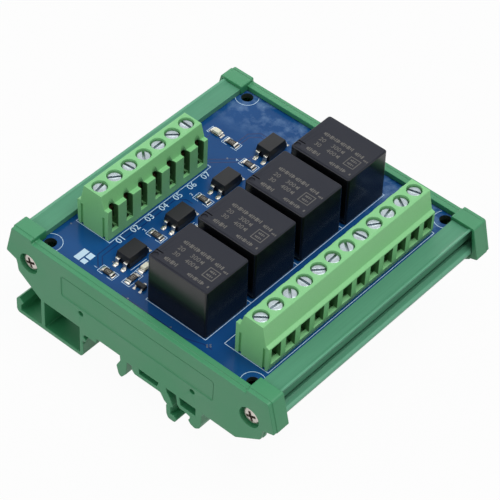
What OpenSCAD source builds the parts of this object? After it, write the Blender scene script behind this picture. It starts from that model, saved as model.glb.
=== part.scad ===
// Four channel relay module board seated in a rail mounting carrier.
// X runs across the carrier, from the input terminals to the output terminals.
// Y runs along the carrier. Z is up, and z = 0 is the plane under the feet.

/* [Circuit board] */
// Width of the board across the carrier
board_w = 72; // [70:0.5:76]
// Length of the board along the carrier
board_l = 76.4; // [76:0.2:84]
// Thickness of the board
board_t = 1.6; // [1.2:0.1:2]
// Distance of the corner holes from the long edges of the board
corner_inset_x = 3.7; // [3.4:0.1:6]
// Distance of the corner holes from the ends of the board
corner_inset_y = 2.4; // [2.2:0.1:4]
// Diameter of the corner holes
corner_hole_d = 3.2; // [2.5:0.1:3.6]

/* [Carrier profile] */
// How far the upper lip of the profile covers the edge of the board
lip_cover = 1.3; // [0.8:0.1:1.6]
// Thickness of the upper lip
lip_t = 1.6; // [1.2:0.1:2]
// Thickness of the shelf under the board
shelf_t = 1.3; // [1:0.1:1.6]
// Thickness of the side walls and the base
profile_wall = 1.6; // [1.3:0.1:1.8]
// Width of the side wall from the edge of the board to the label groove
side_wall = 3.05; // [2.8:0.05:3.4]
// How far the side bulge stands out past the label groove
nose_out = 1.9; // [1.4:0.1:2]
// Depth from the top of the board to the underside of the base
profile_depth = 13.4; // [12.6:0.2:13.8]
// Gap between the board and the slot, on each face
slot_gap = 0.1; // [0.05:0.05:0.2]
// Outer diameter of the screw ports in the profile
port_d = 4.6; // [4.2:0.2:4.8]
// Bore of the screw ports
port_bore = 2.6; // [2.2:0.1:2.8]

/* [End plates] */
// Thickness of the wall of an end plate
plate_t = 2; // [1.8:0.1:2.4]
// Depth of the corner hoods from the outer face
hood_depth = 5.1; // [4.4:0.1:6]
// Height of the corner hoods over the board
hood_top = 2.8; // [2.6:0.1:3.2]
// Height of the middle of the plate over the board
mid_top = 1.6; // [1.2:0.1:1.8]
// How far the middle lip reaches over the end of the board
mid_cover = 0.45; // [0.3:0.05:0.8]
// How far the plate reaches below the top of the board
plate_depth = 16.4; // [16:0.1:17]
// Slope of the outer side of a hood, as the width gained down its height
hood_flare = 2.2; // [1.6:0.1:2.4]
// How far a hood stands out past the bulge of the profile
hood_out = 2.1; // [1.9:0.1:2.9]
// How far the plate stands out past the label groove, under the hoods
skirt_out = 0.4; // [0.2:0.1:0.8]
// Distance of a plate screw from the edge of the board, towards the middle
screw_inset = 0.6; // [0.4:0.1:1]
// Depth of a plate screw below the top of the board
screw_drop = 6.15; // [5.9:0.05:6.4]
// Diameter of the counterbore of a plate screw
counterbore_d = 5.8; // [5.3:0.1:6]
// Step between the face sheet and the rest of the plate
face_step = 0.2; // [0.1:0.05:0.4]
// Thickness of the face sheet
face_t = 1.1; // [0.8:0.1:1.4]

/* [Rail feet] */
// Depth of the foot below the plate
foot_drop = 10; // [9.6:0.1:11]
// Depth of the foot along the carrier
foot_depth = 9; // [6:0.5:14]
// Thickness of the foot walls
foot_wall = 1.2; // [1:0.1:1.5]
// Width of the rail that the feet clip to
rail_w = 35; // [34.6:0.1:35.2]
// Thickness of the rim of the rail
rail_t = 1; // [0.8:0.1:1.2]

/* [Terminal blocks] */
// Pitch of the poles
pitch = 5.08; // [5:0.04:5.2]
// Number of poles of the input block
input_poles = 7; // [2:1:10]
// Number of poles of the output block
output_poles = 12; // [3:1:13]
// Height of a block
block_h = 13.4; // [12.8:0.1:14.5]
// Distance from the screw line to the front and to the back of a block
block_reach = 5.1; // [5:0.05:5.5]
// Diameter of the hole over a clamp screw
driver_hole_d = 4; // [3.8:0.1:4.2]
// Diameter of the head of a clamp screw
clamp_head_d = 3.7; // [3.4:0.1:3.75]
// Width of a wire window
window_w = 3.3; // [2.8:0.1:3.6]
// Height of the upper edge of a wire window
window_top = 7.2; // [6.8:0.1:7.3]
// Width of the slots in the back of a block
back_slot_w = 2.2; // [1.4:0.1:2.4]

/* [Places on the board] */
// Distance of the screw line of the output block from the edge of the board
output_inset = 8.14; // [7.8:0.02:8.6]
// Distance of the first output pole from the near end of the board
output_start = 9.44; // [9.2:0.02:9.8]
// Distance of the screw line of the input block from the edge of the board
input_inset = 8.45; // [7.8:0.05:8.8]
// Distance of the first input pole from the near end of the board
input_start = 14.69; // [13.2:0.01:18.2]
// Gap between neighbouring relays
relay_gap = 1.88; // [1:0.02:2.2]
// Share of the free length of the board that lies before the row of channels
row_share = 0.373; // [0.3:0.001:0.45]

/* [Relays] */
// Length of a relay
relay_l = 18.6; // [18:0.1:19.2]
// Width of a relay
relay_w = 15; // [14.6:0.1:15.6]
// Height of a relay over the board
relay_h = 15.2; // [14:0.1:16.5]
// Middle of the relays across the carrier
relay_x = 6.45; // [6:0.05:7]

/* [Small components] */
// Middle of the optocouplers across the carrier
opto_x = -14.5; // [-15.5:0.1:-14]
// Length of an optocoupler body
opto_l = 6.5; // [6:0.1:6.8]
// Width of an optocoupler body
opto_w = 4.6; // [4.2:0.1:5]
// Height of an optocoupler
opto_h = 3.5; // [3:0.1:4]
// Length of a chip resistor or chip lamp
chip_l = 3.2; // [3:0.1:3.4]
// Width of a chip resistor or chip lamp
chip_w = 1.6; // [1.4:0.1:1.8]

/* [Hidden] */
$fn = 48;
// Cutters pass this far beyond the faces they open
over = 0.5;
// Clearance of a piece that drops into its seat
fit = 0.05;

// Levels and lengths of the whole carrier
board_top = foot_drop + plate_depth;
end_gap = 0.15;
profile_l = board_l + 2 * end_gap;
plate_inner_y = profile_l / 2 + fit;
plate_face_y = plate_inner_y + plate_t;
channels = 4;

// Outline of the profile, measured from the top of the board
slot_back = board_w / 2 + end_gap;
lip_inner = board_w / 2 - lip_cover;
lip_top = slot_gap + lip_t;
shelf_top = -board_t - slot_gap;
shelf_under = shelf_top - shelf_t;
groove_x = slot_back + side_wall;
ridge_x = groove_x + 1;
nose_x = groove_x + nose_out;
nose_z = -4.9;
base_top = profile_wall - profile_depth;
base_half = nose_x - 4.8;

// Places of the corner holes of the board
corner_hole_x = board_w / 2 - corner_inset_x;
corner_hole_y = board_l / 2 - corner_inset_y;

// Outline of the hoods and of the plate
hood_inner = lip_inner - 0.7;
hood_half_w = nose_x + hood_out;
hood_outer = hood_half_w - hood_flare;
hood_wide_z = 10 - plate_depth;
plate_side_x = groove_x + skirt_out;
plate_knee_z = 5.4 - plate_depth;
plate_bottom_half = plate_side_x - 7.85;
screw_x = board_w / 2 - screw_inset;

// Seat, head and shank of a plate screw
seat_t = 0.5;
screw_head_d = 4.7;
screw_head_h = 0.9;
screw_shank_l = 8;
driver_slot_w = 0.64;
driver_slot_l = 2.8;

// Label field and moulding holes of an end plate
label_w = board_w - 23.2;
label_h = 6.7;
label_z = -5.85;
label_depth = 0.15;
moulding_hole_x = rail_w / 2 + 0.5;
moulding_hole_d = 1.5;

// Levels and ribs of a rail foot
rail_half = rail_w / 2;
rail_z = -plate_depth - 4;
root_z = -plate_depth + 0.6;
foot_left = nose_x - 0.7;
rib_x = foot_left - 9.3;

// Outline of a terminal block, from its screw line
block_top_front = 2.84;
block_top_back = 2.78;
front_ledge_in = 4.04;
front_ledge_z = [7.95, 7.6];
back_ledge_in = 3.9;
back_ledge_z = 9.56;
cage_floor = 3.6;
cage_top = 9.4;
cage_front = 2.5;
cage_back = 2.3;
cage_w = 3.9;
tongue_top = 8.1;
tongue_t = 0.6;
leg_x = [-3.1, -2.45];
tail_w = 1;
tail_below = 2;
leg_mid = (leg_x[0] + leg_x[1]) / 2;
window_sill = cage_floor + 0.9;
sill_x = [cage_front + 0.2, cage_front + 0.9];
window_lip = 2.4;
window_foot = 2;
back_slot_x = block_reach - 0.7;
back_slot_foot = 2.2;
back_shelf = 1;
back_pit_w = 1.6;
back_pit_foot = 0.8;
dovetail_x = 3.6;
dovetail_w = 0.75;
dovetail_h = 6.9;
dovetail_depth = 0.5;
clamp_head_top = 12.9;
clamp_head_h = 2;
clamp_shank_d = 2.9;
clamp_turn_step = 47;
output_first_turn = 40;
input_first_turn = 100;

// Places of the blocks and of the channels, from the middle of the carrier
output_line_x = board_w / 2 - output_inset;
output_first_y = output_start - board_l / 2;
input_line_x = board_w / 2 - input_inset;
input_first_y = input_start - board_l / 2;
channel_pitch = relay_w + relay_gap;
row_before = 8.25;
row_l = row_before + (channels - 1) * channel_pitch + relay_w / 2;
row_free = board_l - 2 * mid_cover - row_l;
channel_first_y = mid_cover - board_l / 2 + row_share * row_free + row_before;

// Pins of a relay, from the middle of the relay
pin_row_y = relay_w / 2 - 1.5;
pin_far_x = relay_l / 2 - 2.2;
pin_near_x = relay_l / 2 - 4.2;
relay_pin_spots = [[-pin_far_x, 0], [-pin_near_x, -pin_row_y], [-pin_near_x, pin_row_y],
    [pin_far_x, -pin_row_y], [pin_far_x, pin_row_y]];
relay_pin_size = [0.5, 1];
pin_hole_d = 1.4;
relay_wall = 0.8;
relay_rim_z = 0.3;
relay_base_t = 2;
relay_bevel = 0.35;

// Levels and places of the small components
lead_t = 0.25;
opto_split = 1.7;
opto_lift = 0.15;
opto_lead_x = 1.27;
opto_lead_w = 1.1;
opto_lead_reach = 1.5;
transistor_place = [-6.4, -5.6];
transistor_size = [2.9, 1.3, 1.1];
transistor_lead_x = 0.95;
transistor_lead_w = 0.44;
transistor_lead_z = 0.5;
diode_place = [-6.9, 4.1];
diode_size = [2.6, 4.2, 2.1];
diode_lead_w = 1.4;
diode_lead_z = 1;
small_lead_t = 0.13;
small_lead_out = 0.6;

// Places of the chips, as [x, distance from the channel or from the middle, turn]
input_resistor_place = [-15.35, -7.45, 0];
base_resistor_place = [-9.75, -5, 90];
channel_led_place = [-9.9, -0.3, 90];
power_resistor_place = [12.3 - board_w / 2, 20.1, 0];
power_led_place = [7 - board_w / 2, 20.4, 0];
chip_cap = 0.5;
chip_h = 0.5;
chip_lift = 0.08;
lamp_base_h = 0.55;
lamp_dome_h = 0.55;
cap_h = 0.62;

// Solder cones under the board
joint_d = 2.4;
joint_tip_d = 1.5;
joint_h = 0.8;

// Points of an arc that rounds the corner p1 between p0 and p2
function unit(v) = v / norm(v);
function fillet(p0, p1, p2, r, steps) =
    let (a = unit(p0 - p1))
    let (b = unit(p2 - p1))
    let (half = acos(a * b) / 2)
    let (t = min(r / tan(half), 0.48 * norm(p0 - p1), 0.48 * norm(p2 - p1)))
    let (radius = t * tan(half))
    let (middle = p1 + unit(a + b) * t / cos(half))
    let (first = p1 + a * t - middle)
    let (last = p1 + b * t - middle)
    let (start = atan2(first[1], first[0]))
    let (sweep = atan2(first[0] * last[1] - first[1] * last[0], first * last))
    [for (k = [0 : steps])
        middle + radius * [cos(start + sweep * k / steps), sin(start + sweep * k / steps)]];

// Closed outline from corners [x, y] or [x, y, radius]
function rounded(corners, steps = 4) =
    let (n = len(corners))
    let (flat = [for (c = corners) [c[0], c[1]]])
    [for (i = [0 : n - 1])
        each (len(corners[i]) < 3
            ? [flat[i]]
            : fillet(flat[(i + n - 1) % n], flat[i], flat[(i + 1) % n], corners[i][2], steps))];

// A right half outline, closed by its mirror image
function both_sides(half) = concat(half, [for (i = [len(half) - 1 : -1 : 0])
    len(half[i]) < 3 ? [-half[i][0], half[i][1]] : [-half[i][0], half[i][1], half[i][2]]]);

// Extrudes an outline drawn in X and Z along Y
module along_y(y0, y1) {
    translate([0, y1, 0])
        rotate([90, 0, 0])
            linear_extrude(y1 - y0)
                children();
}

// Extrudes an outline drawn in Y and Z along X
module along_x(x0, x1) {
    translate([x0, 0, 0])
        rotate([90, 0, 90])
            linear_extrude(x1 - x0)
                children();
}

// Raises what is measured from the top of the board
module at_board() {
    translate([0, 0, board_top])
        children();
}

// Copies a right hand piece to the left
module left_and_right() {
    children();
    mirror([1, 0, 0])
        children();
}

// A box centred in X and Y that stands on z = 0
module slab(size) {
    translate([-size[0] / 2, -size[1] / 2, 0])
        cube(size);
}

// A block whose sides lean in, like a moulded case
module drafted(bottom, top, h, corner) {
    hull() {
        linear_extrude(0.01)
            corner_square(bottom, corner);
        translate([0, 0, h - 0.01])
            linear_extrude(0.01)
                corner_square(top, corner);
    }
}

// A centred rectangle with rounded corners
module corner_square(size, r) {
    x = size[0] / 2;
    y = size[1] / 2;
    polygon(rounded([[-x, -y, r], [x, -y, r], [x, y, r], [-x, y, r]], 5));
}

// Outer outline of the profile: a bead along each upper edge, a label groove and a rounded bulge
function profile_outline() = both_sides([
    [lip_inner - 4, -profile_depth],
    [base_half - 1.2, -profile_depth, 0.8],
    [base_half + 1.6, 1.7 - profile_depth, 0.8],
    [nose_x, nose_z - 0.4, 0.35],
    [nose_x - 0.1, nose_z + 0.15, 0.25],
    [groove_x + 0.7, nose_z + 0.8, 1.2],
    [groove_x - 0.1, nose_z + 3, 1.5],
    [groove_x, lip_top - 1, 0.3],
    [ridge_x - 0.25, lip_top - 0.75],
    [ridge_x, lip_top - 0.5, 0.2],
    [ridge_x, lip_top + 0.25, 0.35],
    [ridge_x - 0.75, lip_top + 0.25, 0.3],
    [ridge_x - 1, lip_top]
]);

// Trough between the side walls, under the board
function trough_outline() = both_sides([
    [base_half - 1.9, base_top, 0.6],
    [base_half + 0.05, base_top + 0.8, 0.8],
    [nose_x - 2.1, nose_z - 0.6, 0.8],
    [slot_back + 1.3, shelf_under, 0.5]
]);

module carrier_profile() {
    color("mediumseagreen")
        at_board() {
            difference() {
                along_y(-profile_l / 2, profile_l / 2)
                    polygon(rounded(profile_outline()));
                along_y(-profile_l / 2 - over, profile_l / 2 + over)
                    polygon(rounded(trough_outline()));
                translate([-lip_inner, -profile_l / 2 - over, shelf_under - over])
                    cube([2 * lip_inner, profile_l + 2 * over, lip_top - shelf_under + 2 * over]);
                translate([-slot_back, -profile_l / 2 - over, shelf_top])
                    cube([2 * slot_back, profile_l + 2 * over, board_t + 2 * slot_gap]);
            }
            left_and_right()
                screw_port();
        }
}

// Tube for an end plate screw, tied to the side wall and to the shelf
module screw_port() {
    difference() {
        union() {
            translate([screw_x, profile_l / 2, -screw_drop])
                rotate([90, 0, 0])
                    cylinder(d = port_d, h = profile_l);
            translate([screw_x, -profile_l / 2, -screw_drop - 0.7])
                cube([nose_x - 1.5 - screw_x, profile_l, 1.4]);
            translate([screw_x - 0.7, -profile_l / 2, -screw_drop])
                cube([1.4, profile_l, screw_drop + shelf_under + 0.3]);
        }
        translate([screw_x, profile_l / 2 + over, -screw_drop])
            rotate([90, 0, 0])
                cylinder(d = port_bore, h = profile_l + 2 * over);
    }
}

// Outline of an end plate, stepped down in the middle; inset draws the face sheet
function plate_outline(inset) = both_sides([
    [plate_bottom_half - inset / 2, inset - plate_depth, 0.8],
    [plate_side_x - 0.3 - inset, plate_knee_z, 1.2],
    [plate_side_x - inset, hood_wide_z - 2.3, 0.6],
    [plate_side_x + 0.3 - inset, hood_wide_z - 1.1, 0.3],
    [hood_half_w - inset, hood_wide_z, 0.4],
    [hood_outer - inset, hood_top - inset, 0.7],
    [hood_inner + inset, hood_top - inset, 0.4],
    [hood_inner + inset, mid_top - inset, 0.3]
]);

// Outer outline of the two corner hoods
function hood_outline() = [
    [hood_inner, slot_gap],
    [hood_inner, hood_top, 0.4],
    [hood_outer, hood_top, 0.7],
    [hood_half_w, hood_wide_z, 0.4],
    [plate_side_x + 0.3, hood_wide_z - 1.1, 0.3],
    [plate_side_x - 0.4, hood_wide_z - 2.5]
];

// Room for the profile inside a hood
function hood_room() = [
    [hood_inner - over, slot_gap],
    [lip_inner - 0.1, slot_gap],
    [lip_inner - 0.1, lip_top + fit],
    [ridge_x - 1.1, lip_top + fit],
    [ridge_x - 0.8, lip_top + 0.25 + fit],
    [ridge_x + 0.15, lip_top + 0.25 + fit, 0.2],
    [nose_x + 0.15, nose_z + 0.5],
    [nose_x + 0.15, nose_z - 0.6],
    [base_half + 1.8, 1.7 - profile_depth]
];

module front_end_plate() {
    color("seagreen")
        at_board()
            end_plate();
}

module rear_end_plate() {
    color("seagreen")
        at_board()
            mirror([0, 1, 0])
                end_plate();
}

// Moulded end plate, its outer face towards -Y
module end_plate() {
    difference() {
        union() {
            along_y(-plate_face_y, face_t - plate_face_y)
                polygon(rounded(plate_outline(face_step)));
            along_y(face_t - plate_face_y, -plate_inner_y)
                polygon(rounded(plate_outline(0)));
            translate([-hood_inner, -plate_inner_y, slot_gap])
                cube([2 * hood_inner, mid_cover + plate_inner_y - board_l / 2, mid_top - slot_gap]);
            left_and_right()
                hood();
            rail_foot();
        }
        left_and_right()
            screw_hole();
        left_and_right()
            moulding_hole();
        label_recess();
    }
}

// Hood that closes over the end of the profile
module hood() {
    difference() {
        along_y(-plate_inner_y, hood_depth - plate_face_y)
            polygon(rounded(hood_outline()));
        along_y(-plate_inner_y, hood_depth - plate_face_y + over)
            polygon(rounded(hood_room()));
    }
}

// Counterbored hole for an end plate screw
module screw_hole() {
    translate([screw_x, -plate_inner_y + over, -screw_drop])
        rotate([90, 0, 0])
            cylinder(d = port_bore + 0.6, h = plate_t + 2 * over);
    translate([screw_x, -plate_inner_y - seat_t, -screw_drop])
        rotate([90, 0, 0])
            cylinder(d = counterbore_d, h = plate_t + over);
}

// Small blind hole left by a moulding pin
module moulding_hole() {
    translate([moulding_hole_x, plate_t / 2 - plate_face_y, plate_knee_z])
        rotate([90, 0, 0])
            cylinder(d = moulding_hole_d, h = plate_t / 2 + over);
}

// Shallow field for a label on the outer face
module label_recess() {
    along_y(-plate_face_y - over, label_depth - plate_face_y)
        translate([0, label_z])
            corner_square([label_w, label_h], 0.7);
}

// Foot with the cells on the left and the hooks that take the rim of the rail
module rail_foot() {
    foot_z = -plate_depth - foot_drop;
    along_y(-plate_face_y, foot_depth - plate_face_y) {
        polygon(rounded(foot_cells(foot_z)));
        polygon(rounded(inner_hook()));
        polygon(rounded(spring_arm(foot_z)));
        polygon(rounded(outer_hook()));
    }
}

// Left foot: an L shaped wall, two ribs and the nub over the rim of the rail
function foot_cells(foot_z) = [
    [-rail_half + 0.1, rail_z - rail_t - 0.1, 0.1],
    [-rail_half + 0.1, foot_z + 1.2, 0.9],
    [-rail_half - 0.7, foot_z, 0.8],
    [0.5 - foot_left, foot_z, 0.9],
    [-foot_left, foot_z + 1, 0.8],
    [-foot_left, foot_z + 4.5, 0.4],
    [1.1 - foot_left, foot_z + 5.7, 0.2],
    [2.5 - foot_left, foot_z + 4.3, 0.2],
    [1.6 - foot_left, foot_z + 3, 0.3],
    [1.6 - foot_left, foot_z + foot_wall, 0.3],
    [-rib_x - foot_wall / 2, foot_z + foot_wall, 0.3],
    [-rib_x - foot_wall / 2, root_z],
    [-rib_x + foot_wall / 2, root_z],
    [-rib_x + foot_wall / 2, foot_z + foot_wall, 0.3],
    [-rail_half - 1.1, foot_z + foot_wall, 0.3],
    [-rail_half - 1.1, root_z],
    [-rail_half + 4.6, root_z],
    [-rail_half + 4.6, -plate_depth - 1.4, 0.2],
    [-rail_half + 0.5, -plate_depth - 1.4, 0.6],
    [-rail_half + 0.1, rail_z + 1.6, 0.3],
    [-rail_half + 0.9, rail_z + 1, 0.2],
    [-rail_half + 0.9, rail_z + 0.1, 0.2],
    [-rail_half - 0.1, rail_z, 0.1],
    [-rail_half - 0.1, rail_z - rail_t - 0.1, 0.1]
];

// Short hook in the middle and the bar that carries the spring arm
function inner_hook() = [
    [-5.25, root_z],
    [-5.1, rail_z + 2.5, 0.3],
    [-6.35, rail_z, 0.6],
    [-5.7, rail_z - 2.5, 0.9],
    [-4.8, rail_z - 3.4, 0.5],
    [-3.2, rail_z - 1.1, 0.5],
    [-2.8, rail_z + 3.5, 0.2],
    [-1.3, rail_z + 3.5, 0.2],
    [-1.2, rail_z + 2.1, 0.3],
    [-0.4, rail_z + 1.2, 0.8],
    [8, rail_z + 1.3, 0.5],
    [9.2, rail_z - 0.6, 0.3],
    [10.1, rail_z - 1.2, 0.2],
    [9.9, rail_z - 2.2, 0.3],
    [12.2, rail_z - 0.8, 0.5],
    [11.2, rail_z + 1.4, 0.5],
    [10.1, rail_z + 3, 0.3],
    [9.6, root_z],
    [7.5, root_z],
    [6.9, rail_z + 2.5, 0.2],
    [1.2, rail_z + 2.4, 0.2],
    [1, root_z]
];

// Long bar and snap hook that reach down to the standing plane
function spring_arm(foot_z) = [
    [9.85, rail_z - 1.8],
    [10, foot_z + 1.4, 0.9],
    [10.6, foot_z, 0.9],
    [12.7, foot_z, 0.7],
    [13.5, foot_z + 1.4, 0.5],
    [12.4, foot_z + 2.3, 0.3],
    [11.4, foot_z + 1.9, 0.5],
    [11.3, rail_z - 1.6, 0.5],
    [12.2, rail_z - 0.8]
];

// Hook on the right that takes the other rim of the rail
function outer_hook() = [
    [12.9, root_z],
    [13.4, rail_z + 1.5, 0.5],
    [14.2, rail_z + 0.4, 0.5],
    [15.7, rail_z + 0.4, 0.5],
    [rail_half - 0.1, rail_z, 0.1],
    [rail_half - 0.1, rail_z - rail_t - 0.2, 0.1],
    [rail_half - 0.6, rail_z - rail_t - 0.4, 0.2],
    [rail_half + 0.2, rail_z - rail_t - 1.5, 0.8],
    [rail_half + 1.7, rail_z - rail_t - 2, 0.8],
    [rail_half + 3, rail_z - rail_t - 1, 0.8],
    [rail_half + 3.5, rail_z - 0.1, 0.8],
    [rail_half + 3.6, rail_z + 3, 0.5],
    [rail_half + 4.4, root_z],
    [rail_half + 1.7, root_z],
    [rail_half + 1.7, rail_z + 1.6, 0.3],
    [14.5, rail_z + 1.7, 0.3],
    [13.9, root_z]
];

// Pan head screws that hold the end plates to the profile
module end_plate_screws() {
    color("silver")
        at_board()
            left_and_right() {
                plate_screw();
                mirror([0, 1, 0])
                    plate_screw();
            }
}

module plate_screw() {
    translate([screw_x, -plate_inner_y - seat_t, -screw_drop])
        rotate([90, 0, 0])
            difference() {
                union() {
                    cylinder(d = screw_head_d, h = screw_head_h * 0.6);
                    translate([0, 0, screw_head_h * 0.6])
                        cylinder(d1 = screw_head_d, d2 = screw_head_d * 0.72, h = screw_head_h * 0.4);
                    translate([0, 0, -screw_shank_l])
                        cylinder(d = port_bore - 2 * fit, h = screw_shank_l);
                }
                for (turn = [0, 90])
                    rotate([0, 0, 45 + turn])
                        translate([-driver_slot_l / 2, -driver_slot_w / 2, 0.2])
                            cube([driver_slot_l, driver_slot_w, screw_head_h]);
            }
}

// Middle of a channel along the carrier
function channel_y(k) = channel_first_y + (k - 1) * channel_pitch;

// Places of the pins that pass through the board
function pole_y(first, k) = first + k * pitch;
function tail_spots() = concat(
    [for (k = [0 : output_poles - 1]) [output_line_x + leg_mid, pole_y(output_first_y, k)]],
    [for (k = [0 : input_poles - 1]) [-input_line_x - leg_mid, pole_y(input_first_y, k)]]
);
function relay_spots() = [for (k = [1 : channels], p = relay_pin_spots) [relay_x + p[0], channel_y(k) + p[1]]];

module circuit_board() {
    color("midnightblue")
        at_board()
            difference() {
                translate([-board_w / 2, -board_l / 2, -board_t])
                    cube([board_w, board_l, board_t]);
                for (x = [-corner_hole_x, corner_hole_x], y = [-corner_hole_y, corner_hole_y])
                    translate([x, y, -board_t - over])
                        cylinder(d = corner_hole_d, h = board_t + 2 * over);
                for (p = concat(tail_spots(), relay_spots()))
                    translate([p[0], p[1], -board_t - over])
                        cylinder(d = pin_hole_d, h = board_t + 2 * over, $fn = 24);
            }
}

// Places a block with its screw line at x, its wire windows facing outwards
module at_output_block() {
    at_board()
        translate([output_line_x, output_first_y, 0])
            children();
}

module at_input_block() {
    at_board()
        translate([-input_line_x, input_first_y, 0])
            mirror([1, 0, 0])
                children();
}

// Section of a block: sloped shoulders, a ledge over the windows and a ledge on the back
block_section = [
    [-block_reach, 0],
    [-block_reach, back_ledge_z],
    [-back_ledge_in, back_ledge_z],
    [-block_top_back, block_h, 0.25],
    [block_top_front, block_h, 0.25],
    [front_ledge_in, front_ledge_z[0], 0.3],
    [block_reach, front_ledge_z[1], 0.2],
    [block_reach, 1.9],
    [block_reach - 0.35, 0]
];

module terminal_body(poles) {
    block_l = poles * pitch;
    difference() {
        union() {
            along_y(-pitch / 2, block_l - pitch / 2)
                polygon(rounded(block_section));
            for (s = [-1, 1])
                translate([s * dovetail_x - dovetail_w / 2 + 0.1, block_l - pitch / 2 - over, 0])
                    cube([dovetail_w - 0.2, over + dovetail_depth - 0.1, dovetail_h - 0.2]);
        }
        for (s = [-1, 1])
            translate([s * dovetail_x - dovetail_w / 2, -pitch / 2 - over, -over])
                cube([dovetail_w, over + dovetail_depth, dovetail_h + over]);
        for (k = [0 : poles - 1])
            translate([0, k * pitch, 0])
                pole_cavity();
    }
}

// Everything that is hollow in one pole of a block
module pole_cavity() {
    translate([0, 0, cage_top])
        cylinder(d = driver_hole_d, h = block_h - cage_top + over, $fn = 40);
    translate([leg_x[0] - fit, -cage_w / 2 - fit, cage_floor])
        cube([cage_front - leg_x[0] + 0.15, cage_w + 2 * fit, cage_top + 0.2 - cage_floor]);
    translate([leg_x[0] - fit, -tail_w / 2 - fit, -over])
        cube([leg_x[1] - leg_x[0] + 2 * fit, tail_w + 2 * fit, cage_floor + 2 * over]);
    along_x_section(window_w)
        polygon([[cage_front, window_sill], [sill_x[0], window_sill], [sill_x[1], window_lip],
            [block_reach + over, window_foot], [block_reach + over, window_top], [cage_front, window_top]]);
    translate([-back_slot_x, 0, back_slot_foot])
        cylinder(d = back_slot_w, h = block_h, $fn = 24);
    translate([-block_reach - over, -back_slot_w / 2, back_slot_foot])
        cube([block_reach + over - back_slot_x, back_slot_w, block_h]);
    translate([back_shelf - block_reach, -back_pit_w / 2, back_pit_foot])
        cube([block_reach - back_shelf + leg_x[0] - fit + over, back_pit_w, cage_top + 0.2 - back_pit_foot]);
}

// Extrudes an outline drawn in X and Z to a width centred on Y
module along_x_section(w) {
    along_y(-w / 2, w / 2)
        children();
}

module output_terminal_body() {
    color("lightgreen")
        at_output_block()
            terminal_body(output_poles);
}

module input_terminal_body() {
    color("lightgreen")
        at_input_block()
            terminal_body(input_poles);
}

// Slotted clamp screw; its point rests on the tongue of the contact
module clamp_screw(turn) {
    difference() {
        union() {
            translate([0, 0, clamp_head_top - clamp_head_h])
                cylinder(d = clamp_head_d, h = clamp_head_h - 0.2, $fn = 36);
            translate([0, 0, clamp_head_top - 0.2])
                cylinder(d1 = clamp_head_d, d2 = clamp_head_d - 0.4, h = 0.2, $fn = 36);
            translate([0, 0, tongue_top])
                cylinder(d = clamp_shank_d, h = clamp_head_top - clamp_head_h - tongue_top + 0.1, $fn = 36);
        }
        rotate([0, 0, turn])
            translate([-clamp_head_d, -0.35, clamp_head_top - 0.9])
                cube([2 * clamp_head_d, 0.7, 1]);
    }
}

module clamp_screws(poles, first_turn) {
    for (k = [0 : poles - 1])
        translate([0, k * pitch, 0])
            clamp_screw(first_turn + k * clamp_turn_step);
}

module output_terminal_screws() {
    color("gainsboro")
        at_output_block()
            clamp_screws(output_poles, output_first_turn);
}

module input_terminal_screws() {
    color("gainsboro")
        at_input_block()
            clamp_screws(input_poles, input_first_turn);
}

// Rising cage: a rectangular tube that the screw pulls up
module cage() {
    difference() {
        translate([-cage_back, -cage_w / 2, cage_floor])
            cube([cage_front + cage_back, cage_w, cage_top - cage_floor]);
        translate([-cage_back - over, -cage_w / 2 + 0.5, cage_floor + 0.8])
            cube([cage_front + cage_back + 2 * over, cage_w - 1, tongue_top + fit - cage_floor - 0.8]);
        cylinder(d = clamp_shank_d + 2 * fit, h = cage_top + over, $fn = 36);
    }
}

module cages(poles) {
    for (k = [0 : poles - 1])
        translate([0, k * pitch, 0])
            cage();
}

module output_terminal_cages() {
    color("darkkhaki")
        at_output_block()
            cages(output_poles);
}

module input_terminal_cages() {
    color("darkkhaki")
        at_input_block()
            cages(input_poles);
}

// Contact strip: a tongue in the cage, a leg behind it and a tail through the board
module contact() {
    translate([leg_x[0], -1.2, tongue_top - tongue_t])
        cube([cage_front - 0.4 - leg_x[0], 2.4, tongue_t]);
    translate([leg_x[0], -1.2, cage_floor])
        cube([leg_x[1] - leg_x[0], 2.4, tongue_top - cage_floor]);
    translate([leg_x[0], -tail_w / 2, -board_t - tail_below])
        cube([leg_x[1] - leg_x[0], tail_w, cage_floor + board_t + tail_below]);
}

module contacts(poles) {
    for (k = [0 : poles - 1])
        translate([0, k * pitch, 0])
            contact();
}

module output_terminal_contacts() {
    color("goldenrod")
        at_output_block()
            contacts(output_poles);
}

module input_terminal_contacts() {
    color("goldenrod")
        at_input_block()
            contacts(input_poles);
}

// Places a piece at the middle of relay k
module at_relay(k) {
    at_board()
        translate([relay_x, channel_y(k), 0])
            children();
}

module relay_case(k) {
    color("dimgray")
        at_relay(k)
            difference() {
                hull() {
                    translate([0, 0, relay_rim_z])
                        drafted([relay_l, relay_w], [relay_l - 0.3, relay_w - 0.2],
                            relay_h - relay_rim_z - relay_bevel, 0.7);
                    translate([0, 0, relay_h - 0.01])
                        linear_extrude(0.01)
                            corner_square([relay_l - 0.3 - 2 * relay_bevel,
                                relay_w - 0.2 - 2 * relay_bevel], 0.5);
                }
                translate([0, 0, -over])
                    slab([relay_l - 2 * relay_wall, relay_w - 2 * relay_wall, relay_base_t + over]);
                translate([1.4 - relay_l / 2, relay_w / 2 - 2.1, relay_h - 0.15])
                    cube([2.2, 0.35, 1]);
                translate([1.5 - relay_l / 2, 1.6 - relay_w / 2, relay_h - 0.15])
                    cylinder(d = 0.9, h = 1, $fn = 24);
            }
}

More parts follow.
